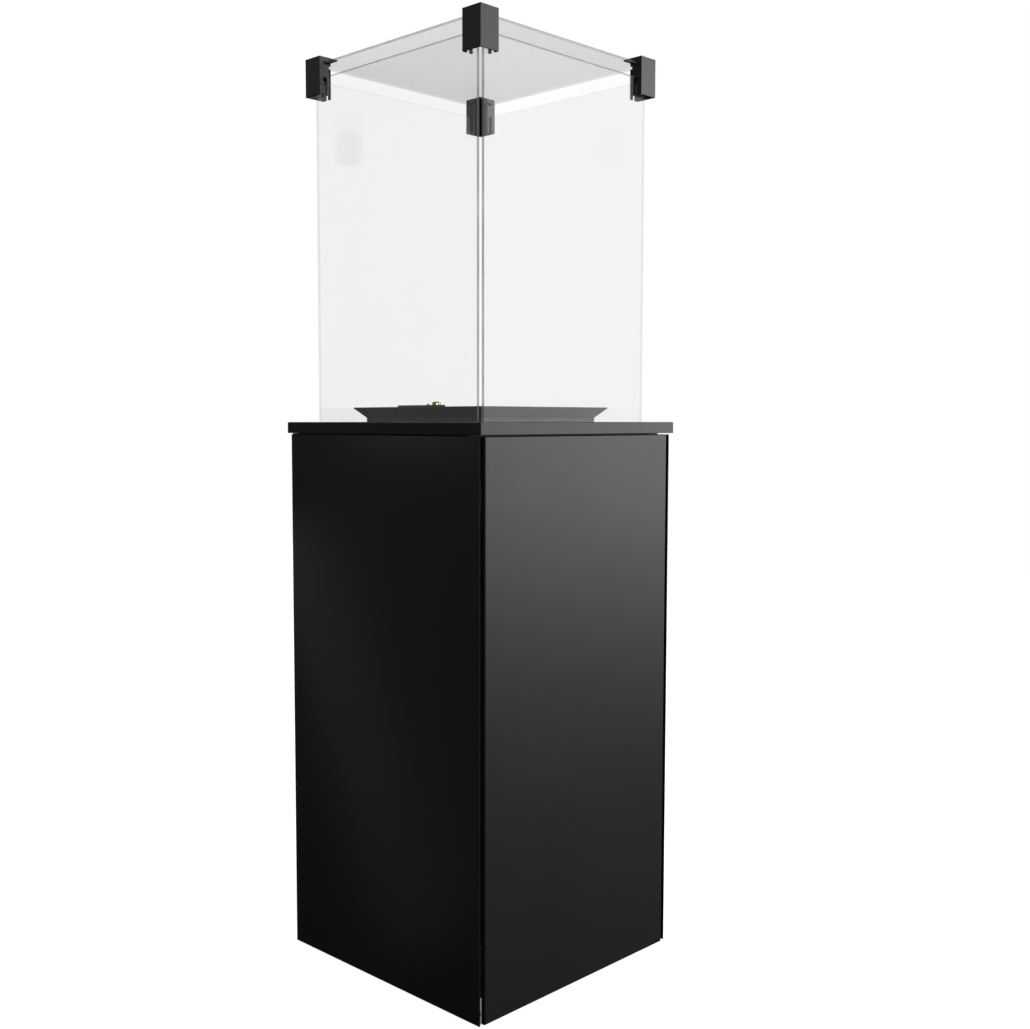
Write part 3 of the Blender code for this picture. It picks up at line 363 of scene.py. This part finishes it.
def foldedForm(line, low, high, bend):
    # an open sheet whose outer face follows a line of (x, y) points, with round bends
    form = bmesh.new()
    rows = [[form.verts.new((x, y, z)) for x, y in line] for z in (low, high)]
    for index in range(len(line) - 1):
        form.faces.new((rows[0][index], rows[0][index + 1], rows[1][index + 1], rows[1][index]))
    folds = [form.edges.get((rows[0][index], rows[1][index])) for index in range(1, len(line) - 1)]
    bmesh.ops.bevel(form, geom=folds, offset=bend, segments=5, profile=0.5, affect="EDGES")
    return form


def turnedForm(profile, steps, middle=(0, 0)):
    # profile is (radius, height) pairs; a radius of 0 closes an end
    form = bmesh.new()
    rings = []
    for radius, height in profile:
        if radius == 0:
            rings.append([form.verts.new((*middle, height))])
            continue
        turns = [2 * math.pi * step / steps for step in range(steps)]
        rings.append([form.verts.new((middle[0] + radius * math.cos(turn),
                                      middle[1] + radius * math.sin(turn), height)) for turn in turns])
    for upper, lower in zip(rings, rings[1:]):
        for step in range(steps):
            after = (step + 1) % steps
            corners = [upper[step % len(upper)], upper[after % len(upper)],
                       lower[after % len(lower)], lower[step % len(lower)]]
            corners = list(dict.fromkeys(corners))
            if len(corners) > 2:
                form.faces.new(corners)
    bmesh.ops.recalc_face_normals(form, faces=form.faces)
    return form


def joinForms(first, others):
    for other in others:
        spare = bpy.data.meshes.new("spare")
        other.to_mesh(spare)
        other.free()
        first.from_mesh(spare)
        bpy.data.meshes.remove(spare)
    return first


# the cut edges of the door and side sheets are matte and darker than the coat so that they show as shade in
# the door gap: painted shade
cutEdge = moulded("sealed_cut_edge", plasticLooks["cutEdge"])
doorFold = {"bend": 1.7 * mm, "sheet": 1.5 * mm, "cutEdge": 0.25 * mm}


def doorSkin():
    low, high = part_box("door_panel")
    form = boxForm(low, high)
    back = [face for face in form.faces if face.normal.y > 0.9]
    bmesh.ops.delete(form, geom=back, context="FACES_ONLY")
    front = [face for face in form.faces if face.normal.y < -0.9][0]
    bmesh.ops.bevel(form, geom=list(front.edges), offset=doorFold["bend"], segments=5, profile=0.5,
                    affect="EDGES")
    piece = thicken(addPiece("door_skin", form, [powder, cutEdge], ["door_panel"]), doorFold["sheet"])
    return soften(piece, doorFold["cutEdge"])


doorSkin()

sideFold = {"bend": 2.0 * mm, "sheet": 1.5 * mm, "flange": 18 * mm, "cutEdge": 0.25 * mm}


def sideSkin(node, side):
    low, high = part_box(node)
    outer = high.x if side > 0 else low.x
    line = [(outer, low.y), (outer, high.y), (outer - side * sideFold["flange"], high.y)]
    if side < 0:
        line.reverse()
    form = foldedForm(line, low.z, high.z, sideFold["bend"])
    piece = thicken(addPiece(node + "_skin", form, [powder, cutEdge], [node]), sideFold["sheet"])
    return soften(piece, sideFold["cutEdge"])


sideSkin("side_panel_left", -1)
sideSkin("side_panel_right", 1)
formed("back_panel", powder, 0.3 * mm)
print("cabinet skins made")

rimShape = {"rounding": 1.6 * mm, "sheet": 2 * mm, "channelRoom": 1.1 * mm, "edge": 0.4 * mm}


def topRim():
    low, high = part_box("top_plate")
    half, inner = high.x, -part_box("glass_channel_front")[0].y + rimShape["channelRoom"]
    sheet, bend = rimShape["sheet"], rimShape["rounding"]
    arc = [math.pi / 2 * step / 5 for step in range(6)]
    profile = [(half, low.z)]
    profile += [(half - bend + bend * math.cos(turn), high.z - bend + bend * math.sin(turn)) for turn in arc]
    profile += [(inner, high.z), (inner, low.z), (inner + sheet, low.z), (inner + sheet, high.z - sheet),
                (half - sheet, high.z - sheet), (half - sheet, low.z)]
    form = bmesh.new()
    corners = ((1, -1), (1, 1), (-1, 1), (-1, -1))
    rings = [[form.verts.new((reach * x, reach * y, height)) for x, y in corners]
             for reach, height in profile]
    for index, ring in enumerate(rings):
        after = rings[(index + 1) % len(rings)]
        for side in range(4):
            form.faces.new((ring[side], ring[(side + 1) % 4], after[(side + 1) % 4], after[side]))
    bmesh.ops.recalc_face_normals(form, faces=form.faces)
    uprights = [form.edges.get((rings[0][side], rings[1][side])) for side in range(4)]
    uprights += [form.edges.get((rings[step][side], rings[step + 1][side])) for side in range(4)
                 for step in range(1, len(arc))]
    bmesh.ops.bevel(form, geom=uprights, offset=bend, segments=4, profile=0.5, affect="EDGES",
                    offset_type="OFFSET")
    return soften(addPiece("top_plate_rim", form, powder, ["top_plate"]), rimShape["edge"])


topRim()
formed("burner_deck", powder, 0.5 * mm)
for side in ("front", "right", "rear", "left"):
    formed(f"glass_channel_{side}", powder, 0.3 * mm)

glassShape = {"chamfer": 0.6 * mm, "lidCorner": 4 * mm, "nearFrom": (-90 * mm, -270 * mm)}


def glassSheet(node, finish, corner=0.0):
    low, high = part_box(node)
    form = boxForm(low, high)
    size = high - low
    thin = min(range(3), key=lambda axis: size[axis])
    if corner:
        ends = [edge for edge in form.edges
                if abs((edge.verts[0].co - edge.verts[1].co)[thin]) > size[thin] * 0.9]
        bmesh.ops.bevel(form, geom=ends, offset=corner, segments=6, profile=0.5, affect="EDGES")
    rims = [edge for edge in form.edges if max(abs(face.normal[thin]) for face in edge.link_faces) > 0.9]
    bmesh.ops.bevel(form, geom=rims, offset=glassShape["chamfer"], segments=1, affect="EDGES")
    # edge faces nearer the camera take the darker edge materials: painted shade
    for face in form.faces:
        middle = face.calc_center_median()
        nearness = sum(middle.x + middle.y < limit for limit in glassShape["nearFrom"])
        face.material_index = 0 if abs(face.normal[thin]) > 0.99 else 1 + nearness
    return addPiece(node + "_sheet", form, [finish, *glassEdges], [node])


for side in ("front", "right", "rear", "left"):
    glassSheet(f"glass_pane_{side}", paneGlass)
glassSheet("glass_lid", lidGlass, glassShape["lidCorner"])
for corner in ("front_left", "front_right", "rear_right", "rear_left"):
    formed(f"corner_clip_{corner}", powder, 0.45 * mm, 3)
print("top and glass made")

formed("burner_tray", powder, 0.55 * mm, 3)
formed("pilot_bracket", powder, 0.35 * mm)

burnerShape = {"steps": 64, "sheet": 1.2 * mm, "neck": 14 * mm, "depth": 24 * mm, "hole": 1.5 * mm,
               "rings": ((14, 6), (28, 12), (42, 18), (56, 24), (70, 30))}  # radius in mm, number of ports


def burnerPan():
    low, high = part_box("burner")
    outer, top, neck = high.x, high.z, burnerShape["neck"]
    foot = top - burnerShape["depth"]
    profile = [(0, top)]
    profile += [(outer * share, top - 3 * mm * share ** 2) for share in (0.2, 0.4, 0.6, 0.75, 0.88)]
    profile += [(outer - 3 * mm, top - 4.5 * mm), (outer - 1 * mm, top - 6 * mm), (outer, top - 9 * mm),
                (outer, foot + 3 * mm), (outer - 1 * mm, foot + 1 * mm), (outer - 4 * mm, foot),
                (neck + 8 * mm, foot - 4 * mm), (neck + 2 * mm, foot - 6 * mm), (neck, foot - 10 * mm),
                (neck, low.z)]
    form = turnedForm(profile, burnerShape["steps"])
    piece = addPiece("burner_pan", form, [stainless], ["burner"])
    thicken(piece, burnerShape["sheet"])
    holes = bmesh.new()
    for radius, count in burnerShape["rings"]:
        for index in range(count):
            turn = 2 * math.pi * (index + 0.5 * (count % 4 == 2)) / count
            middle = Vector((radius * mm * math.cos(turn), radius * mm * math.sin(turn), top - 2 * mm))
            bmesh.ops.create_cone(holes, cap_ends=True, segments=10, radius1=burnerShape["hole"],
                                  radius2=burnerShape["hole"], depth=burnerShape["neck"],
                                  matrix=Matrix.Translation(middle))
    mesh = bpy.data.meshes.new("port_cutter")
    holes.to_mesh(mesh)
    holes.free()
    cutter = bpy.data.objects.new("port_cutter", mesh)
    scene.collection.objects.link(cutter)
    cut = piece.modifiers.new("ports", "BOOLEAN")
    cut.operation, cut.object, cut.solver = "DIFFERENCE", cutter, "EXACT"
    bpy.context.view_layer.update()
    pierced = bpy.data.meshes.new_from_object(piece.evaluated_get(bpy.context.evaluated_depsgraph_get()))
    piece.modifiers.clear()
    piece.data = pierced
    pierced.shade_smooth()
    pierced.set_sharp_from_angle(angle=math.radians(35))
    bpy.data.objects.remove(cutter)
    return piece


burnerPan()


def turnedPiece(name, profile, steps, middle, finish, stands=(), edge=0.3 * mm, body="cabinet"):
    piece = addPiece(name, turnedForm(profile, steps, middle), finish, stands, body)
    return soften(piece, edge)


def pilotParts():
    low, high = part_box("pilot_hood")
    middle = ((low.x + high.x) / 2, (low.y + high.y) / 2)
    cap, top, base = (high.x - low.x) / 2, high.z, low.z + 14 * mm
    profile = [(0, top), (cap * 0.6, top), (cap * 0.9, top - 1 * mm), (cap, top - 3 * mm),
               (cap, top - 8 * mm), (cap * 0.7, top - 8.5 * mm), (cap * 0.7, base + 6.5 * mm),
               (cap, base + 6 * mm), (cap, base), (cap * 0.6, base), (cap * 0.6, low.z), (0, low.z)]
    turnedPiece("pilot_burner_head", profile, 40, middle, brass, ["pilot_hood"])
    low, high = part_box("thermocouple")
    middle = ((low.x + high.x) / 2, (low.y + high.y) / 2)
    nut, base, top = (high.x - low.x) / 2, low.z + 16 * mm, high.z
    body = nut - 2 * mm
    profile = [(0, top), (body * 0.5, top - 0.2 * mm), (body * 0.9, top - 1.0 * mm), (body, top - 2.2 * mm),
               (body, base + 6 * mm), (body + 0.8 * mm, base + 5.6 * mm), (body + 0.8 * mm, base + 4 * mm),
               (nut, base + 4 * mm), (nut, base), (body, base), (body, low.z), (0, low.z)]
    turnedPiece("thermocouple_tip", profile, 32, middle, stainless, ["thermocouple"])
    low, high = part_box("spark_electrode")
    middle = ((low.x + high.x) / 2, (low.y + high.y) / 2)
    nut, base, top = (high.x - low.x) / 2, low.z + 18 * mm, high.z
    body = nut - 1.5 * mm
    profile = [(0, base + 8.5 * mm), (1.3 * mm, base + 8.5 * mm), (body * 0.8, base + 7.6 * mm),
               (body, base + 6.6 * mm), (body, base + 3 * mm), (nut, base + 3 * mm), (nut, base),
               (body, base), (body, low.z), (0, low.z)]
    turnedPiece("electrode_ceramic", profile, 32, middle, ceramic, ["spark_electrode"])
    wire = [(0, top), (0.9 * mm, top - 0.3 * mm), (1.1 * mm, top - 1 * mm), (1.1 * mm, base + 8 * mm),
            (0, base + 8 * mm)]
    turnedPiece("electrode_wire", wire, 16, middle, stainless, edge=0.1 * mm)


pilotParts()
print("burner and pilot made")

for node in nodes:
    if node.startswith(("frame_post", "hinge_arm", "door_pivot_plate")):
        formed(node, galvanised, 0.4 * mm)
for node in ("base_plate", "heat_shield", "valve_bracket", "striker_plate_lower", "striker_plate_upper"):
    formed(node, galvanised, 0.3 * mm)
formed("top_frame", powder, 0.3 * mm)
formed("gas_valve_body", castAluminium, 1.2 * mm, 3)
formed("receiver_case", blackPlastic, 0.5 * mm)
formed("receiver_switch", blackPlastic, 0.6 * mm)
formed("injector_elbow", brass, 0.4 * mm)
formed("inlet_nipple", brass, 0.3 * mm)
for node in ("hinge_pin_lower", "hinge_pin_upper"):
    formed(node, stainless, 0.2 * mm)

footShape = {"steps": 48, "pad": 16 * mm, "stem": 4 * mm, "nut": 8 * mm, "nutHeight": 6 * mm,
             "nutAt": 13 * mm, "thread": 0.45 * mm, "pitch": 0.75, "turns": 70}


def levellingFoot(node):
    low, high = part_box(node)
    middle = ((low.x + high.x) / 2, (low.y + high.y) / 2)
    pad, stem = footShape["pad"], footShape["stem"]
    profile = [(0, 70 * mm), (stem - 0.8 * mm, 70 * mm), (stem, 69.2 * mm)]
    profile += [(stem - footShape["thread"] * (index % 2), (69 - index * footShape["pitch"]) * mm)
                for index in range(footShape["turns"])]
    profile += [(stem, 16 * mm), (stem + 1.2 * mm, 15.8 * mm), (stem + 1.2 * mm, 10 * mm),
                (pad - 4 * mm, 8.6 * mm), (pad - 1.4 * mm, 7 * mm), (pad, 5 * mm), (pad, 1.2 * mm),
                (pad - 1 * mm, 0), (0, 0)]
    form = turnedForm(profile, footShape["steps"], middle)
    nut = bmesh.new()
    bmesh.ops.create_cone(nut, cap_ends=True, segments=6, radius1=footShape["nut"], radius2=footShape["nut"],
                          depth=footShape["nutHeight"],
                          matrix=Matrix.Translation((*middle, footShape["nutAt"])))
    piece = addPiece(node + "_turned", joinForms(form, [nut]), blackPlastic, [node])
    return soften(piece, 0.25 * mm)


for node in [name for name in nodes if name.startswith("levelling_foot")]:
    levellingFoot(node)

knobShape = {"radius": 19 * mm, "flutes": 12, "depth": 1.1 * mm, "steps": 96, "skirt": 4 * mm}


def controlKnob(node):
    low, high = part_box(node)
    x, z = (low.x + high.x) / 2, (low.z + high.z) / 2
    radius, count = knobShape["radius"], knobShape["steps"]
    back, face = high.y, low.y
    skirt = back - knobShape["skirt"]
    # each row is a depth, a share of the radius and how much the flutes show
    rows = [(back, 1.0, 0), (back - 1 * mm, 1.0, 0), (skirt, 0.995, 0), (skirt - 1 * mm, 0.955, 1),
            (face + 3 * mm, 0.90, 1), (face + 1.2 * mm, 0.885, 1), (face + 0.3 * mm, 0.84, 0.6),
            (face, 0.78, 0), (face, 0.72, 0), (face + 0.8 * mm, 0.68, 0)]
    form = bmesh.new()
    rings = []
    for y, share, fluted in rows:
        ring = []
        for step in range(count):
            turn = 2 * math.pi * step / count
            wave = (1 - math.cos(knobShape["flutes"] * turn)) / 2
            reach = radius * share - fluted * knobShape["depth"] * wave
            ring.append(form.verts.new((x + reach * math.cos(turn), y, z + reach * math.sin(turn))))
        rings.append(ring)
    for before, after in zip(rings, rings[1:]):
        for step in range(count):
            following = (step + 1) % count
            form.faces.new((before[step], before[following], after[following], after[step]))
    form.faces.new(rings[0])
    form.faces.new(rings[-1])
    bmesh.ops.recalc_face_normals(form, faces=form.faces)
    piece = addPiece(node + "_grip", form, blackPlastic, [node])
    piece.data.shade_smooth()
    piece.data.set_sharp_from_angle(angle=math.radians(38))
    line = boxForm((x - 0.9 * mm, face + 0.1 * mm, z + 5 * mm), (x + 0.9 * mm, face + 1.4 * mm, z + 13 * mm))
    soften(addPiece(node + "_pointer", line, markPaint, body=bodyOf[node]), 0.3 * mm)


controlKnob("manual_knob")
controlKnob("flame_knob")


catchShape = {"proud": 0.02 * mm, "half": 0.8 * mm, "depth": 4 * mm, "margin": 5 * mm, "apart": 4 * mm}


def magnetCatch(node):
    low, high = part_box(node)
    soften(addPiece(node + "_case", cleanForm(node), blackPlastic, [node]), 0.5 * mm)
    half, margin = catchShape["half"], catchShape["margin"]
    bars = []
    for across in (-catchShape["apart"], catchShape["apart"]):
        middle = (low.x + high.x) / 2 + across
        bars.append(boxForm((middle - half, low.y - catchShape["proud"], low.z + margin),
                            (middle + half, low.y + catchShape["depth"], high.z - margin)))
    poles = joinForms(bars[0], bars[1:])
    soften(addPiece(node + "_poles", poles, stainless, body="cabinet"), 0.2 * mm)


magnetCatch("magnet_catch_lower")
magnetCatch("magnet_catch_upper")


def softTube(node, finish):
    piece = addPiece(node + "_drawn", cleanForm(node), finish, [node])
    piece.data.shade_smooth()
    piece.data.set_sharp_from_angle(angle=math.radians(50))
    return piece


softTube("burner_feed_pipe", copper)
softTube("pilot_pipe", castAluminium)
softTube("thermocouple_lead", copper)
softTube("ignition_lead", sleeve)
print("frame and fittings made")

floorLook = {
    "half": 6.0, "thickness": 20 * mm,
    "colour": (0.86, 0.86, 0.86), "paler": (0.88, 0.88, 0.88), "roughness": 0.8,
    "grain": 60.0, "depth": 0.1 * mm,
    "glow": 0.93, "shade": 0.18,  # emission in the open, and a painted shadow under the cabinet
    "from": 212 * mm, "to": 216 * mm,  # where the painted shadow ends, out from the middle
}


def floorFinish(look):
    finish = Finish("pale_floor")
    grain = finish.noise(look["grain"], 3.0)
    across = finish.add("SeparateXYZ", None, {0: finish.place}, out="X")
    along = across.sibling("Y")
    reach = finish.maths("MAXIMUM", finish.maths("ABSOLUTE", across), finish.maths("ABSOLUTE", along))
    paintedShadow, bright = [(level, level, level) for level in (look["shade"], look["glow"])]
    # the emission colour is darker under the cabinet: a painted shadow
    return finish.finished(finish.principled({
        "Base Color": finish.blend(grain, look["colour"], look["paler"]), "Roughness": look["roughness"],
        "Emission Color": finish.blend(finish.step(reach, look["from"], look["to"]), paintedShadow, bright),
        "Emission Strength": 1.0, "Normal": finish.bump(grain, 0.3, look["depth"])}))


def paleFloor():
    half = floorLook["half"]
    form = boxForm((-half, -half, -floorLook["thickness"]), (half, half, 0))
    mesh = bpy.data.meshes.new("floor")
    form.to_mesh(mesh)
    form.free()
    floor = bpy.data.objects.new("floor", mesh)
    scene.collection.objects.link(floor)
    mesh.materials.append(floorFinish(floorLook))
    floor.visible_glossy = False  # the room's own light does this work
    floor.visible_diffuse = False
    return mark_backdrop(floor)


paleFloor()

studioLook = {
    # the room as gloss sees it: how strong under and over the horizon, and how much more to the right
    "room": {"under": 0.023, "over": 0.140, "from": -0.45, "to": 0.35, "right": 2.2},
    "boxes": {  # a box lights all but the glass, or only the pieces it names
        "key": {"place": (1.85, -1.85, 1.52), "aim": (0.0, -0.2, 1.35), "size": (2.0, 2.25), "power": 58.0,
                "colour": (1.0, 0.958, 0.915)},
        "left": {"place": (-2.2, 1.9, 1.95), "aim": (-0.2, 0.0, 1.3), "size": (1.0, 1.0), "power": 2.2,
                 "colour": (0.97, 0.985, 1.0)},
        "rightGlow": {"place": (1.7, -1.9, 1.2), "aim": (0.0, 0.0, 1.2), "size": (3.2, 3.2), "power": 30.0,
                      "colour": (1.0, 1.0, 1.0), "only": ("glass_pane", "glass_lid")},
        "leftGlow": {"place": (-2.4, 1.9, 1.2), "aim": (0.0, 0.0, 1.2), "size": (3.2, 3.2), "power": 8.0,
                     "colour": (1.0, 1.0, 1.0), "only": ("glass_pane", "glass_lid")},
        "trayGlow": {"place": (0.80, -0.30, 0.25), "aim": (0.0, -0.15, 0.9), "size": (0.8, 0.8),
                     "power": 14.0, "colour": (1.0, 0.97, 0.94), "only": ("burner_tray",), "through": True},
        "inside": {"place": (-1.2, -2.6, 1.3), "aim": (0.0, 0.0, 0.6), "size": (1.2, 1.6), "power": 60.0,
                   "colour": (1.0, 0.99, 0.97),
                   "only": ("frame_", "base_", "heat_", "valve_", "gas_", "receiver_", "manual_", "flame_",
                            "hinge_", "magnet_", "striker_", "door_pivot", "burner_pan", "burner_feed",
                            "pilot_", "thermocouple", "electrode", "injector", "inlet", "ignition",
                            "levelling")},
        "backRight": {"place": (2.0, 2.0, 1.5), "aim": (0.0, 0.0, 0.9), "size": (1.8, 2.2), "power": 30.0,
                      "colour": (1.0, 1.0, 1.0), "only": ("side_panel_right", "back_panel", "top_plate",
                                                          "levelling", "corner_clip_rear_right")},
        "doorSide": {"place": (-2.2, -2.4, 1.6), "aim": (0.0, -0.2, 0.9), "size": (1.6, 2.0), "power": 12.0,
                     "colour": (1.0, 1.0, 1.0), "only": ("door_skin",)},
        "streak": {"place": (-0.395, 0.255, 0.34), "aim": (-0.225, 0.05, 0.38), "size": (0.05, 0.80),
                   "power": 0.060, "turn": 20.0, "colour": (1.0, 1.0, 1.0), "only": ("side_panel_left",)},
        "spot": {"place": (-0.385, 0.11, 0.95), "aim": (-0.225, -0.07, 0.90), "size": (0.10, 0.08),
                 "power": 0.045, "colour": (1.0, 1.0, 1.04), "only": ("side_panel_left",)},
    },
}


def softbox(name, look):
    lamp = bpy.data.lights.new(name, "AREA")
    lamp.shape = "RECTANGLE"
    lamp.size, lamp.size_y = look["size"]
    lamp.energy = look["power"]
    lamp.color = look["colour"]
    holder = bpy.data.objects.new(name, lamp)
    facing = (Vector(look["aim"]) - Vector(look["place"])).to_track_quat("-Z", "Y").to_matrix().to_4x4()
    turn = Matrix.Rotation(math.radians(look.get("turn", 0.0)), 4, "Z")
    holder.matrix_world = Matrix.Translation(look["place"]) @ facing @ turn
    holder.visible_camera = False
    scene.collection.objects.link(holder)
    listed = bpy.data.collections.new(name + "_pieces")
    for piece in scene.objects:
        if piece.name.startswith(look.get("only", ("glass_pane", "glass_lid"))):
            listed.objects.link(piece)
    for entry in listed.collection_objects:
        entry.light_linking.link_state = "INCLUDE" if "only" in look else "EXCLUDE"
    holder.light_linking.receiver_collection = listed
    if look.get("through"):
        holder.light_linking.blocker_collection = listed


def roomLight(look):
    room = bpy.data.worlds.new("room")
    scene.world = room
    room.use_nodes = True
    tree = room.node_tree
    tree.nodes.clear()
    path, place, split, level, across, side, both, white, dim, pick, end = [
        tree.nodes.new("ShaderNode" + kind) for kind in (
            "LightPath", "TexCoord", "SeparateXYZ", "MapRange", "Math", "MapRange", "Math", "Background",
            "Background", "MixShader", "OutputWorld")]
    level.interpolation_type = side.interpolation_type = "SMOOTHSTEP"
    across.operation, both.operation = "SUBTRACT", "MULTIPLY"
    for node, limits in ((level, [look[key] for key in ("from", "to", "under", "over")]),
                         (side, (-1.0, 1.4, 1.0, look["right"]))):
        for key, value in zip(("From Min", "From Max", "To Min", "To Max"), limits):
            node.inputs[key].default_value = value
    for start, finish in ((place.outputs["Generated"], split.inputs[0]),
                          (split.outputs["Z"], level.inputs["Value"]), (split.outputs["X"], across.inputs[0]),
                          (split.outputs["Y"], across.inputs[1]), (across.outputs[0], side.inputs["Value"]),
                          (level.outputs["Result"], both.inputs[0]), (side.outputs["Result"], both.inputs[1]),
                          (both.outputs[0], dim.inputs["Strength"]), (dim.outputs[0], pick.inputs[1]),
                          (path.outputs["Is Camera Ray"], pick.inputs[0]), (white.outputs[0], pick.inputs[2]),
                          (pick.outputs[0], end.inputs["Surface"])):
        tree.links.new(start, finish)
    dim.inputs["Color"].default_value = (0.98, 0.99, 1.0, 1.0)
    white.inputs["Color"].default_value = (1.0, 1.0, 1.0, 1.0)


roomLight(studioLook["room"])
for boxName, boxLook in studioLook["boxes"].items():
    softbox(boxName, boxLook)

cameraLook = {"place": (-1.4968, -1.4968, 0.8984), "down": 4.258, "turn": -45.0, "lens": 43.95,
              "sensor": 36.0, "shift": 0.0335, "reach": 50.0}


def addCamera():
    lens = bpy.data.cameras.new("camera")
    lens.lens = cameraLook["lens"]
    lens.sensor_width = cameraLook["sensor"]
    lens.shift_x = cameraLook["shift"]
    lens.clip_end = cameraLook["reach"]
    holder = bpy.data.objects.new("camera", lens)
    holder.location = cameraLook["place"]
    holder.rotation_euler = (math.radians(90 - cameraLook["down"]), 0.0, math.radians(cameraLook["turn"]))
    scene.collection.objects.link(holder)
    scene.camera = holder


addCamera()
scene.view_settings.view_transform = "Standard"
scene.view_settings.look = "None"
print("studio made")
